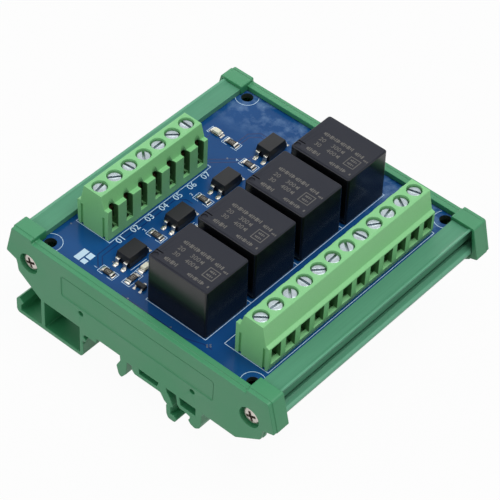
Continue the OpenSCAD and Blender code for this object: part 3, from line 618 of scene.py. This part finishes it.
def weave(tree, place, direction):
    """The threads of the glass cloth in one direction."""
    inputs = {"Vector": place, "Scale": 620, "Distortion": 0.4}
    return add_node(tree, "ShaderNodeTexWave", inputs, bands_direction=direction).outputs["Fac"]


def mask_material():
    """Blue mask over uneven copper, with the glass cloth just felt through it."""
    made, tree, shader = new_material("solder_mask")
    shader.inputs["Specular IOR Level"].default_value = 0.2
    place = add_node(tree, "ShaderNodeTexCoord").outputs["Object"]
    tone = blend_colours(
        tree, noise(tree, place, 55, 2), linear((0.045, 0.235, 0.445)), linear((0.085, 0.315, 0.545)),
    )
    # The mask is painted paler and rougher in patches towards the rear of the board: a painted highlight.
    along = add_node(tree, "ShaderNodeSeparateXYZ", {0: place}).outputs["Y"]
    highlight_patches = remap(tree, noise(tree, place, 260, 6, Roughness=0.65), 0.46, 0.72, 0, 0.42)
    highlight_share = reckon(tree, "MULTIPLY", remap(tree, along, 0.023, 0.032, 0, 1), highlight_patches)
    highlit_tone = blend_colours(tree, highlight_share, tone, linear((0.55, 0.68, 0.82)))
    cloth = reckon(tree, "MULTIPLY", weave(tree, place, "X"), weave(tree, place, "Y"))
    join_skin(tree, shader, highlit_tone, remap(tree, highlight_share, 0, 1, 0.16, 0.55), cloth, 0.05, 0.01)
    return made


solder_mask = mask_material()
laminate = plastic("board_laminate", (0.20, 0.25, 0.23), roughness=0.7, grain=3000, tone=0.2, shine=0.2)
board = soften("circuit_board", solder_mask, 0.06, segments=1)
board.data.materials.append(laminate)
for face in board.data.polygons:
    if abs(face.normal.z) < 0.3:
        face.material_index = 1


def add_strip(shape, points, width, low, high, closed=False):
    """A flat strip along a path in the plane of the board, closed on all sides."""
    count = len(points)
    rows = []
    for k, point in enumerate(points):
        here = Vector(point)
        before = Vector(points[k - 1]) if closed or k else here
        after = Vector(points[(k + 1) % count]) if closed or k < count - 1 else here
        a = (here - before).normalized() if (here - before).length > 1e-9 else (after - here).normalized()
        b = (after - here).normalized() if (after - here).length > 1e-9 else a
        side = Vector((-a.y - b.y, a.x + b.x)).normalized()
        reach = width / 2 / max(0.35, side.dot(Vector((-a.y, a.x))))
        left, right = here + side * reach, here - side * reach
        rows.append([shape.verts.new((spot.x, spot.y, z))
                     for spot, z in ((left, low), (right, low), (right, high), (left, high))])
    for first, second in zip(rows, rows[1:] + rows[:1] if closed else rows[1:]):
        for k in range(4):
            shape.faces.new((first[k], first[(k + 1) % 4], second[(k + 1) % 4], second[k]))
    if not closed:
        shape.faces.new(rows[0][::-1])
        shape.faces.new(rows[-1])


def as_piece(name, shape, material):
    """A finished piece of its own, made of the shape."""
    bmesh.ops.recalc_face_normals(shape, faces=shape.faces)
    piece = as_object(name, shape)
    piece.data.materials.append(material)
    finished(piece)


def add_number(shape, text, place, size, turn, thick, base):
    """A plain number as a thin raised print, centred at place."""
    data = bpy.data.curves.new("number", "FONT")
    data.body = text
    data.size = size
    data.align_x = "CENTER"
    data.align_y = "CENTER"
    data.extrude = thick / 2
    data.resolution_u = 3
    written = put_in_scene("number", data)
    mesh = evaluated_mesh(written)
    mesh.transform(
        Matrix.Translation((*place, base + thick / 2)) @ Matrix.Rotation(math.radians(turn), 4, "Z")
    )
    shape.from_mesh(mesh)
    bpy.data.objects.remove(written)
    bpy.data.meshes.remove(mesh)


relay_boxes = [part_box(f"relay_case_{k}") for k in range(1, 5)]
opto_boxes = [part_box(f"optocoupler_{k}") for k in range(1, 5)]
out_low, out_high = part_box("output_terminal_body")
in_low, in_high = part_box("input_terminal_body")
pitch = 5.08 * MM
fine = 0.145 * MM
print_low, print_high = board_top - 0.005 * MM, board_top + print_height
hole_x, hole_y, hole_ring_r = 32.3, 35.8, 3.05
print_end_x, print_end_y = 34.5 * MM, 37.6 * MM
chip_end_gap, chip_side_gap = 1.35 * MM, 0.42 * MM
marks = bmesh.new()


def print_line(points, closed=False):
    """A line of white print on the board."""
    add_strip(marks, points, fine, print_low, print_high, closed)


def print_frame(left, front, right, rear, gaps=()):
    """A rectangle of print; a named side may keep a gap in its middle."""
    corners = [(left, front), (right, front), (right, rear), (left, rear)]
    if not gaps:
        print_line(corners, closed=True)
        return
    for k, side in enumerate(("front", "right", "rear", "left")):
        a, b = Vector(corners[k]), Vector(corners[(k + 1) % 4])
        if side in gaps:
            print_line([a, a.lerp(b, 0.36)])
            print_line([a.lerp(b, 0.64), b])
        else:
            print_line([a, b])


def print_chip_frame(node, gaps):
    """The frame round a chip resistor, wider at its two capped ends."""
    low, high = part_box(node)
    x, y = (chip_end_gap, chip_side_gap) if "front" in gaps else (chip_side_gap, chip_end_gap)
    print_frame(low.x - x, low.y - y, high.x + x, high.y + y, gaps)


def print_bracket(node, start, back, aside):
    """A bracket behind a chip lamp, open towards +X; sizes in mm."""
    low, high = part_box(node)
    x, back_x = low.x + start * MM, low.x - back * MM
    front, rear = low.y - aside * MM, high.y + aside * MM
    print_line([(x, front), (back_x, front), (back_x, rear), (x, rear)])


print_frame(19.78 * MM, out_low.y - 0.15 * MM, 33.1 * MM, out_high.y + 0.1 * MM)
print_frame(-33.0 * MM, in_low.y - 0.15 * MM, in_high.x + 0.6 * MM, in_high.y + 0.2 * MM)
relays_left, relays_right = relay_boxes[0][0].x - 0.1 * MM, relay_boxes[0][1].x + 0.15 * MM
print_frame(relays_left, relay_boxes[0][0].y - 0.1 * MM, relays_right, relay_boxes[3][1].y + 0.1 * MM)
for lower, upper in zip(relay_boxes, relay_boxes[1:]):
    between = (lower[1].y + upper[0].y) / 2
    print_line([(relays_left, between), (relays_right, between)])
for x in (-hole_x, hole_x):
    for y in (-hole_y, hole_y):
        ring = [((x + hole_ring_r * math.cos(a)) * MM, (y + hole_ring_r * math.sin(a)) * MM)
                for a in (2 * math.pi * k / 72 for k in range(72))]
        inside = [p for p in ring if abs(p[0]) < print_end_x and abs(p[1]) < print_end_y]
        split = next((k for k in range(len(inside))
                      if (Vector(inside[k]) - Vector(inside[k - 1])).length > 0.5 * MM), 0)
        print_line(inside[split:] + inside[:split])
for k in range(1, 5):
    print_chip_frame(f"input_resistor_{k}", ("front", "rear"))
    print_chip_frame(f"base_resistor_{k}", ("left", "right"))
    print_bracket(f"channel_led_{k}", 0.2, 0.35, 1.25)
    low, high = opto_boxes[k - 1]
    print_line([(high.x + 0.25 * MM, low.y), (high.x + 0.45 * MM, high.y - 1.1 * MM)])
print_chip_frame("power_resistor", ("front", "rear"))
print_bracket("power_led", -0.6, 1.3, 0.35)
for k in range(7):
    add_number(marks, f"0{k + 1}", (in_high.x + 1.75 * MM, in_low.y + pitch * (k + 0.5)), 2.55 * MM, 90,
               print_height, board_top)
for left, front, right, rear in (
    (-25.0, -35.4, -23.3, -31.6), (-22.9, -35.4, -21.3, -34.0), (-22.9, -33.5, -21.3, -31.6),
):
    add_block(marks, (left * MM, front * MM, print_low), (right * MM, rear * MM, print_high))
for k in range(4):
    low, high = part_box(f"input_resistor_{k + 1}")
    add_number(marks, str(k + 1), (low.x - 2.3 * MM, low.y + 0.2 * MM), 1.35 * MM, 90,
               print_height, board_top)
ink_white = plastic("print_white", (0.78, 0.89, 0.97), roughness=0.6, grain=6000, tone=0.12, bump=0.2)
as_piece("board_print", marks, ink_white)

# Copper tracks show as faint lines under the mask.
track_low = board_top - 0.003 * MM
track_w = 0.28 * MM
tracks = bmesh.new()
for path in (
    [(-17.4, -34.0), (-18.4, -33.8), (-21.3, -30.9), (-21.3, -4.0)],
    [(-17.4, -33.0), (-18.2, -32.5), (-20.1, -30.6), (-20.1, -9.0)],
    [(-23.0, 20.8), (-23.0, 25.5), (-20.8, 27.9), (-17.0, 27.9)],
    [(-22.0, 20.8), (-22.0, 24.7), (-19.9, 26.8), (-17.0, 26.8)],
    [(-24.2, 11.6), (-16.9, 18.9), (-16.9, 20.2)],
    [(-23.4, 10.8), (-16.1, 18.1), (-16.1, 20.2)],
    [(-21.4, -8.3), (-20.4, -7.1), (-20.4, -4.5), (-18.4, -2.6), (-16.4, -2.6)],
    [(-11.2, -5.3), (-9.4, -3.6), (-8.0, -3.6)],
    [(-11.2, 11.4), (-9.4, 13.1), (-8.0, 13.1)],
    [(-29.8, 18.6), (-29.8, 12.0)],
    [(-8.0, -36.6), (12.0, -36.6), (16.5, -34.9), (19.0, -34.9)],
):
    add_strip(tracks, [(x * MM, y * MM) for x, y in path], track_w, track_low, board_top + trace_height)
track_blue = plastic("mask_over_copper", (0.075, 0.185, 0.40), roughness=0.2, grain=3000, tone=0.1, bump=0.05)
as_piece("board_tracks", tracks, track_blue)

# Tinned pads, with solder drawn up each cap and lead, and small plated vias.
tin = metal("tinned", (0.80, 0.79, 0.76), roughness=0.24, scratch=700, bump=0.3, depth=0.03)


def build_place_tree(name):
    """Sets a copy of a small shape on each point, turned by the point's own angle."""
    tree, given = new_group(name, "GeometryNodeTree", (
        ("Places", "Geometry", None), ("Shape", "Object", None), ("Paint", "Material", None),
    ), (("Pieces", "Geometry"),))
    taken = add_node(tree, "GeometryNodeObjectInfo", {"Object": given["Shape"]})
    angle = add_node(tree, "GeometryNodeInputNamedAttribute", {"Name": "turn"}, data_type="FLOAT")
    about = add_node(tree, "ShaderNodeCombineXYZ", {"Z": angle.outputs["Attribute"]})
    copies = add_node(tree, "GeometryNodeInstanceOnPoints", {
        "Points": given["Places"], "Instance": taken.outputs["Geometry"], "Rotation": about.outputs[0],
    })
    return end_tree(tree, copies.outputs[0], given["Paint"])


place_tree = build_place_tree("copies_at_places")


def copies_at(name, places, shape, material):
    """places are (x, y, z, angle); the shape is copied to each and made one plain mesh."""
    bmesh.ops.recalc_face_normals(shape, faces=shape.faces)
    sample = as_object(name + "_sample", shape)
    mesh = bpy.data.meshes.new(name)
    mesh.from_pydata([p[:3] for p in places], [], [])
    turn = mesh.attributes.new("turn", "FLOAT", "POINT")
    turn.data.foreach_set("value", [p[3] for p in places])
    piece = put_in_scene(name, mesh)
    run_tree(piece, place_tree, {"Shape": sample, "Paint": material})
    finished(piece)
    bpy.data.objects.remove(sample)


def solder_shape(length, width, height, pad_length):
    """Solder on a pad: it climbs a metal end at x = 0 and thins out along +X."""
    shape = bmesh.new()
    pad_half = width / 2 + 0.08 * MM
    add_block(shape, (-pad_length * 0.35, -pad_half, 0), (pad_length, pad_half, 0.035 * MM))
    steps = 6
    grid = []
    for i in range(steps + 1):
        u = i / steps
        row = []
        for j in range(steps + 1):
            v = 2 * j / steps - 1
            round_off = math.sqrt(max(0.0, 1 - 0.92 * v * v * (0.45 + 0.55 * u)))
            z = 0.03 * MM + height * (1 - u) ** 1.9 * round_off + 0.03 * MM * (1 - u) * round_off
            row.append(shape.verts.new((length * u * (0.75 + 0.25 * round_off), v * width / 2, z)))
        grid.append(row)
    base = [[shape.verts.new((v.co.x, v.co.y, 0.01 * MM)) for v in row] for row in grid]
    for i in range(steps):
        for j in range(steps):
            for sheet in (grid, base):
                shape.faces.new((sheet[i][j], sheet[i + 1][j], sheet[i + 1][j + 1], sheet[i][j + 1]))
        for a, b, c, d in ((i, 0, i + 1, 0), (i, -1, i + 1, -1), (0, i, 0, i + 1), (-1, i, -1, i + 1)):
            shape.faces.new((grid[a][b], base[a][b], base[c][d], grid[c][d]))
    return shape


chip_cap = 0.5 * MM
resistors = [name for name in nodes if "resistor" in name]
chip_lamps = [name for name in nodes if "_led" in name]
chip_ends = []
for name in resistors + chip_lamps:
    low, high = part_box(name)
    middle = (low + high) / 2
    if high.x - low.x > high.y - low.y:
        chip_ends += [(high.x + chip_cap, middle.y, board_top, 0),
                      (low.x - chip_cap, middle.y, board_top, math.pi)]
    else:
        chip_ends += [(middle.x, high.y + chip_cap, board_top, math.pi / 2),
                      (middle.x, low.y - chip_cap, board_top, -math.pi / 2)]
chip_solder = solder_shape(0.42 * MM, 1.45 * MM, 0.42 * MM, 0.5 * MM)
copies_at("chip_solder", chip_ends, chip_solder, tin)

lead_ends = []
for low, high in opto_boxes:
    middle = (low + high) / 2
    for x in (-1.27 * MM, 1.27 * MM):
        lead_ends += [(middle.x + x, high.y + 1.45 * MM, board_top, math.pi / 2),
                      (middle.x + x, low.y - 1.45 * MM, board_top, -math.pi / 2)]
lead_solder = solder_shape(0.34 * MM, 0.85 * MM, 0.26 * MM, 0.36 * MM)
copies_at("optocoupler_solder", lead_ends, lead_solder, tin)

small_ends = []
for k in range(1, 5):
    low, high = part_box(f"driver_transistor_{k}")
    middle = (low + high) / 2
    small_ends += [(middle.x + x * MM, low.y - 0.55 * MM, board_top, -math.pi / 2) for x in (-0.95, 0.95)]
    small_ends.append((middle.x, high.y + 0.55 * MM, board_top, math.pi / 2))
small_solder = solder_shape(0.4 * MM, 0.55 * MM, 0.16 * MM, 0.45 * MM)
copies_at("transistor_solder", small_ends, small_solder, tin)

via_tin = metal("via_tin", (0.50, 0.52, 0.54), roughness=0.5)
via_ring = [(0.1 * MM, 0), (0.24 * MM, 0), (0.24 * MM, 0.016 * MM), (0.1 * MM, 0.012 * MM), (0.1 * MM, 0)]
via_places = [(x * MM, y * MM, board_top, 0.0) for x, y in (
    (-33.2, -27.8), (-16.9, -30.2), (7.3, -36.2), (17.2, -34.6), (18.1, -34.4), (17.6, -35.0),
    (17.7, -34.0), (-6.2, -36.4), (17.9, -16.4), (17.8, 0.4), (17.9, 17.2), (-20.9, 15.3),
    (-11.4, 17.4), (-12.3, 31.4), (-9.0, 36.1), (2.6, 36.0),
)]
copies_at("board_vias", via_places, turned(via_ring, 16), via_tin)

# Terminal blocks
# Two moulded rows of screw terminals in light green plastic, one of seven poles
# and one of twelve, with a wire window and a driver hole for each pole.
terminal_green = (0.50, 0.77, 0.515)
clamp_head_r = 1.85 * MM
shell = 0.45 * MM
end_wall = 0.8 * MM
hollow_low, hollow_high = 1.3 * MM, 8 * MM
# Pockets in mm: least and most depth, half width, foot and head above the board.
window_pit = (1.25, 3.6, 2.0, 1.2, 4.9)
slot_pit = (0.6, 2.3, 1.4, 2.5, 9.3)
terminal_skin = plastic(
    "terminal_green", terminal_green, roughness=0.42, grain=4600, tone=0.05, bump=0.22, depth=0.015,
)
# A darker green for the walls inside the pockets: painted shade.
hollow_painted_shade = plastic(
    "terminal_hollow_painted_shade", (0.33, 0.53, 0.33), roughness=0.6, grain=4600, tone=0.3, bump=0.22, depth=0.015,
    shine=0.2,
)


def add_pit(shape, face, inward, pole_y, near, far, half, foot, head):
    """The pocket of one pole, inside a face of its block."""
    inner, outer = sorted((face + inward * near * MM, face + inward * far * MM))
    add_block(shape, (inner, pole_y - half * MM, board_top + foot * MM),
              (outer, pole_y + half * MM, board_top + head * MM))


for block, way in (("input_terminal_body", -1), ("output_terminal_body", 1)):
    low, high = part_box(block)
    front, back = (high.x, low.x) if way > 0 else (low.x, high.x)
    pockets = bmesh.new()
    screws_low, screws_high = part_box(block.replace("body", "screws"))
    pole_y = screws_low.y + clamp_head_r
    while pole_y < screws_high.y:
        # Behind the sill of each window the floor drops away under the cage.
        add_pit(pockets, front, -way, pole_y, *window_pit)
        # Each slot of the back opens on the contact leg over most of its width.
        add_pit(pockets, back, way, pole_y, *slot_pit)
        pole_y += pitch
    body = soften(block, terminal_skin, 0.09, pockets=pockets)
    # The inner walls of each pocket take the darker green: painted shade.
    body.data.materials.append(hollow_painted_shade)
    for face in body.data.polygons:
        at = face.center
        depth, height = (front - at.x) * way, at.z - board_top
        hollow = shell < depth < abs(front - back) - shell and hollow_low < height < hollow_high
        if hollow and face.normal.z < 0.4 and low.y + end_wall < at.y < high.y - end_wall:
            face.material_index = 1

# Clamp screws
# Slotted screws of zinc plated steel, one for each pole, left at whatever angle
# the last turn gave them.
zinc = metal("zinc_plate", (0.70, 0.745, 0.765), roughness=0.3, scratch=800, bump=0.3, depth=0.02)
clamp_thread_r = 1.44 * MM
clamp_turn_step = math.radians(47)
drive_half, drive_depth = 0.34 * MM, 0.95 * MM


def build_row_tree():
    """A row of one shape along Y, each turned further about its own axis."""
    tree, given = new_group("row_of_screws", "GeometryNodeTree", (
        ("Screw", "Geometry", None), ("Count", "Int", 3), ("First place", "Vector", None),
        ("Pitch", "Float", 0.005), ("First turn", "Float", 0.0), ("Turn step", "Float", 0.8),
        ("Metal", "Material", None),
    ), (("Screws", "Geometry"),))
    along = add_node(tree, "ShaderNodeCombineXYZ", {"Y": given["Pitch"]})
    row = add_node(tree, "GeometryNodeMeshLine", {
        "Count": given["Count"], "Start Location": given["First place"], "Offset": along.outputs[0],
    })
    index = add_node(tree, "GeometryNodeInputIndex").outputs[0]
    angle = reckon(tree, "MULTIPLY_ADD", index, given["Turn step"], given["First turn"])
    about = add_node(tree, "ShaderNodeCombineXYZ", {"Z": angle})
    copies = add_node(tree, "GeometryNodeInstanceOnPoints", {
        "Points": row.outputs[0], "Instance": given["Screw"], "Rotation": about.outputs[0],
    })
    return end_tree(tree, copies.outputs[0], given["Metal"])


row_tree = build_row_tree()


def clamp_screw(name):
    """One screw, its axis on Z and the top of its head at z = 0."""
    r, t = clamp_head_r, clamp_thread_r
    profile = [(0, -4.8 * MM), (t * 0.7, -4.8 * MM)]
    for k in range(6):
        z = -4.6 * MM + k * 0.45 * MM
        profile += [(t * 0.82, z), (t, z + 0.22 * MM)]
    profile += [(t * 0.82, -2.0 * MM), (r * 0.9, -2.0 * MM), (r, -1.85 * MM), (r, -0.34 * MM),
                (r * 0.975, -0.16 * MM), (r * 0.9, -0.05 * MM), (r * 0.8, 0), (0, 0)]
    piece = as_object(name, turned(profile, 44))
    cutter = bmesh.new()
    add_block(cutter, (-2.4 * MM, -drive_half, -drive_depth), (2.4 * MM, drive_half, 0.5 * MM), 0.03 * MM)
    cut_away(piece, cutter)
    rim = piece.modifiers.new("burr", "BEVEL")
    rim.width = 0.05 * MM
    rim.segments = 2
    rim.limit_method = "ANGLE"
    rim.angle_limit = math.radians(50)
    return piece


for side, first_turn, turn_step in (("output", 40, clamp_turn_step), ("input", -80, -clamp_turn_step)):
    low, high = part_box(side + "_terminal_screws")
    piece = clamp_screw(side + "_clamp_screws_shown")
    run_tree(piece, row_tree, {
        "Count": round((high.y - low.y - 2 * clamp_head_r) / pitch) + 1,
        "First place": ((low.x + high.x) / 2, low.y + clamp_head_r, high.z), "Pitch": pitch,
        "First turn": math.radians(first_turn), "Turn step": turn_step, "Metal": zinc,
    })
    finished(piece, sharp=30)
    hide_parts(side + "_terminal_screws")

# Clamp cages and contacts
# Nickel plated brass cages rise round each wire, and tinned strips run from
# them down through the board.
cage_metal = metal("cage_metal", (0.56, 0.50, 0.40), roughness=0.45)
# The contacts are given a darker metal than tin: painted shade for the slots they show through.
contact_metal_painted_shade = metal("contact_metal_painted_shade", (0.46, 0.38, 0.27), roughness=0.5)
for side in ("input", "output"):
    soften(side + "_terminal_cages", cage_metal, 0.08)
    soften(side + "_terminal_contacts", contact_metal_painted_shade, 0.05)

# Relays
# Four sealed relays: a black case with a matt top and glossy sides, glued to a
# base that holds five tinned pins. The top carries rows of grey print.
notch_l, notch_depth = 2.6 * MM, 0.3 * MM
notch_y = (2.6 * MM, 2.95 * MM)
dimple_r, dimple_in = 0.8 * MM, 1.35 * MM
relay_top_skin = plastic(
    "relay_top", (0.10, 0.112, 0.155), roughness=0.55, grain=3600, tone=0.06, bump=0.5, depth=0.03,
    shine=0.24,
)
relay_side_skin = plastic(
    "relay_side", (0.075, 0.08, 0.095), roughness=0.2, grain=900, tone=0.1, bump=0.06, depth=0.02,
    shine=0.36,
)
relay_base_skin = plastic("relay_base", (0.09, 0.09, 0.10), roughness=0.5, grain=4000)
relay_ink = plastic("relay_ink", (0.385, 0.375, 0.36), roughness=0.7, grain=7000, tone=0.2, bump=0.2)


def close_notch(shape):
    """Fills the short notch at the far corner of a relay's top: it belongs at the near corner."""
    top = max(v.co.z for v in shape.verts)
    centre_y = sum(v.co.y for v in shape.verts) / len(shape.verts)
    floor = [v for v in shape.verts if top - 0.2 * MM < v.co.z < top - 0.1 * MM
             and v.co.y > centre_y + 3 * MM and any(abs(f.normal.z) > 0.9 for f in v.link_faces)]
    bmesh.ops.delete(shape, geom=floor, context="VERTS")
    bmesh.ops.holes_fill(shape, edges=[e for e in shape.edges if e.is_boundary], sides=0)
    bmesh.ops.triangulate(shape, faces=[f for f in shape.faces if len(f.verts) > 3])


for k, (low, high) in enumerate(relay_boxes, 1):
    # A short notch and a dimple mark the near left corner of the top.
    corner_marks = bmesh.new()
    add_block(corner_marks, (low.x - 0.3 * MM, low.y + notch_y[0], high.z - notch_depth),
              (low.x + notch_l, low.y + notch_y[1], high.z + 0.4 * MM))
    bmesh.ops.create_cone(
        corner_marks, cap_ends=True, segments=24, radius1=dimple_r, radius2=dimple_r, depth=0.5 * MM,
        matrix=Matrix.Translation((low.x + dimple_in, low.y + dimple_in, high.z)),
    )
    case = soften(f"relay_case_{k}", relay_side_skin, 0.1, corner=20,
                  pockets=corner_marks, reshape=close_notch)
    case.data.materials.append(relay_top_skin)
    for face in case.data.polygons:
        if face.normal.z > 0.6 and face.center.z > high.z - 0.6 * MM:
            face.material_index = 1
    soften(f"relay_base_{k}", relay_base_skin, 0.08)
    soften(f"relay_pins_{k}", tin, 0.04)

# The print is plain numbers, rows of short bars and a plain square.
inks = bmesh.new()


def relay_marks(cx, cy, top):
    """The print on one relay, placed in mm from the middle of its top."""
    low, high = top - 0.004 * MM, top + 0.012 * MM

    def bars(first, last, middle, tall):
        for k in range(int((last - first) / 0.5) + 1):
            x, half = first + 0.5 * k, tall / 2 * (1 if k % 3 else 0.62)
            add_block(inks, (cx + x * MM, cy + (middle - half) * MM, low),
                      (cx + (x + (0.26 if k % 4 else 0.4)) * MM, cy + (middle + half) * MM, high))

    for bar in (
        (-5.8, -1.3, 1.5, 1.15), (-0.6, 3.2, 1.5, 1.15), (1.4, 2.3, -0.75, 1.15), (1.5, 2.4, -2.8, 1.15),
        (-5.6, -1.6, -5.4, 1.2), (1.7, 6.5, -5.6, 1.0), (7.7, 7.9, -5.6, 1.0), (4.2, 6.4, 1.1, 1.1),
        (7.2, 8.3, 0.5, 0.6), (4.9, 6.6, -1.45, 0.7), (4.9, 6.6, -2.75, 0.7),
    ):
        bars(*bar)
    for text, x, y in (("20", -4.6, -0.75), ("300", -0.3, -0.75), ("30", -4.4, -2.8), ("400", -0.2, -2.8)):
        add_number(inks, text, (cx + x * MM, cy + y * MM), 1.85 * MM, 0, high - low, low)
    square = ((4.3, -0.5), (7.3, -0.5), (7.3, -3.7), (4.3, -3.7))
    add_strip(inks, [(cx + x * MM, cy + y * MM) for x, y in square], 0.2 * MM, low, high, closed=True)


for low, high in relay_boxes:
    relay_marks((low.x + high.x) / 2, (low.y + high.y) / 2, high.z)
as_piece("relay_print", inks, relay_ink)

# Optocouplers
# Four black epoxy packages, each on four tinned gull wing leads, with a dimple
# that marks the first lead.
epoxy = plastic(
    "black_epoxy", (0.085, 0.092, 0.105), roughness=0.42, grain=5200, tone=0.08, bump=0.45, depth=0.02,
    shine=0.3,
)
dimple = [(0, 0), (0.36 * MM, 0), (0.4 * MM, 0.024 * MM), (0.33 * MM, 0.03 * MM), (0.28 * MM, 0.022 * MM),
          (0, 0.021 * MM)]
for k in range(1, 5):
    soften(f"optocoupler_{k}", epoxy, 0.12, segments=3, corner=10)
    soften(f"optocoupler_leads_{k}", tin, 0.04)
dot_places = [(low.x + 0.95 * MM, low.y + 0.95 * MM, high.z - 0.02 * MM, 0.0) for low, high in opto_boxes]
copies_at("optocoupler_dots", dot_places, turned(dimple, 24), epoxy)

# Transistors and diodes
# A small transistor drives each coil, and a diode lies across it. Both are
# black epoxy with thin tinned leads.
for k in range(1, 5):
    soften(f"driver_transistor_{k}", epoxy, 0.06, corner=10)
    soften(f"flyback_diode_{k}", epoxy, 0.1, corner=10)
soften("transistor_leads", tin, 0.02, segments=1)
soften("diode_leads", tin, 0.03, segments=1)

# Chip resistors
# Blocks of white ceramic under a dark glaze, with a tinned cap on each end and
# a plain number on top.
glaze = plastic("resistor_glaze", (0.17, 0.155, 0.145), roughness=0.3, grain=2500, tone=0.15, bump=0.1)
glaze_print = bmesh.new()
for name in resistors:
    soften(name, glaze, 0.06)
    low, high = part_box(name)
    middle = (low + high) / 2
    turn = 0 if high.x - low.x > high.y - low.y else 90
    add_number(glaze_print, "102", (middle.x, middle.y), 1.05 * MM, turn, 0.012 * MM, high.z - 0.002 * MM)
glaze_ink = plastic("glaze_print", (0.62, 0.60, 0.56), roughness=0.6)
as_piece("resistor_numbers", glaze_print, glaze_ink)
soften("chip_end_caps", tin, 0.07)

# Lamps
# Chip lamps, one for each channel and one for the supply: a white base with a
# block of clear resin over the die, soldered by its two end caps.
resin = plastic("lamp_resin", (0.90, 0.90, 0.82), roughness=0.22, grain=2500, tone=0.1, bump=0.1)
for name in chip_lamps:
    soften(name, resin, 0.03)

# Solder under the board
# Cones of tin solder, left round the pins of the relays and the terminals where
# they come through the board.
soften("solder_joints", tin, 0.06, segments=1, corner=20)
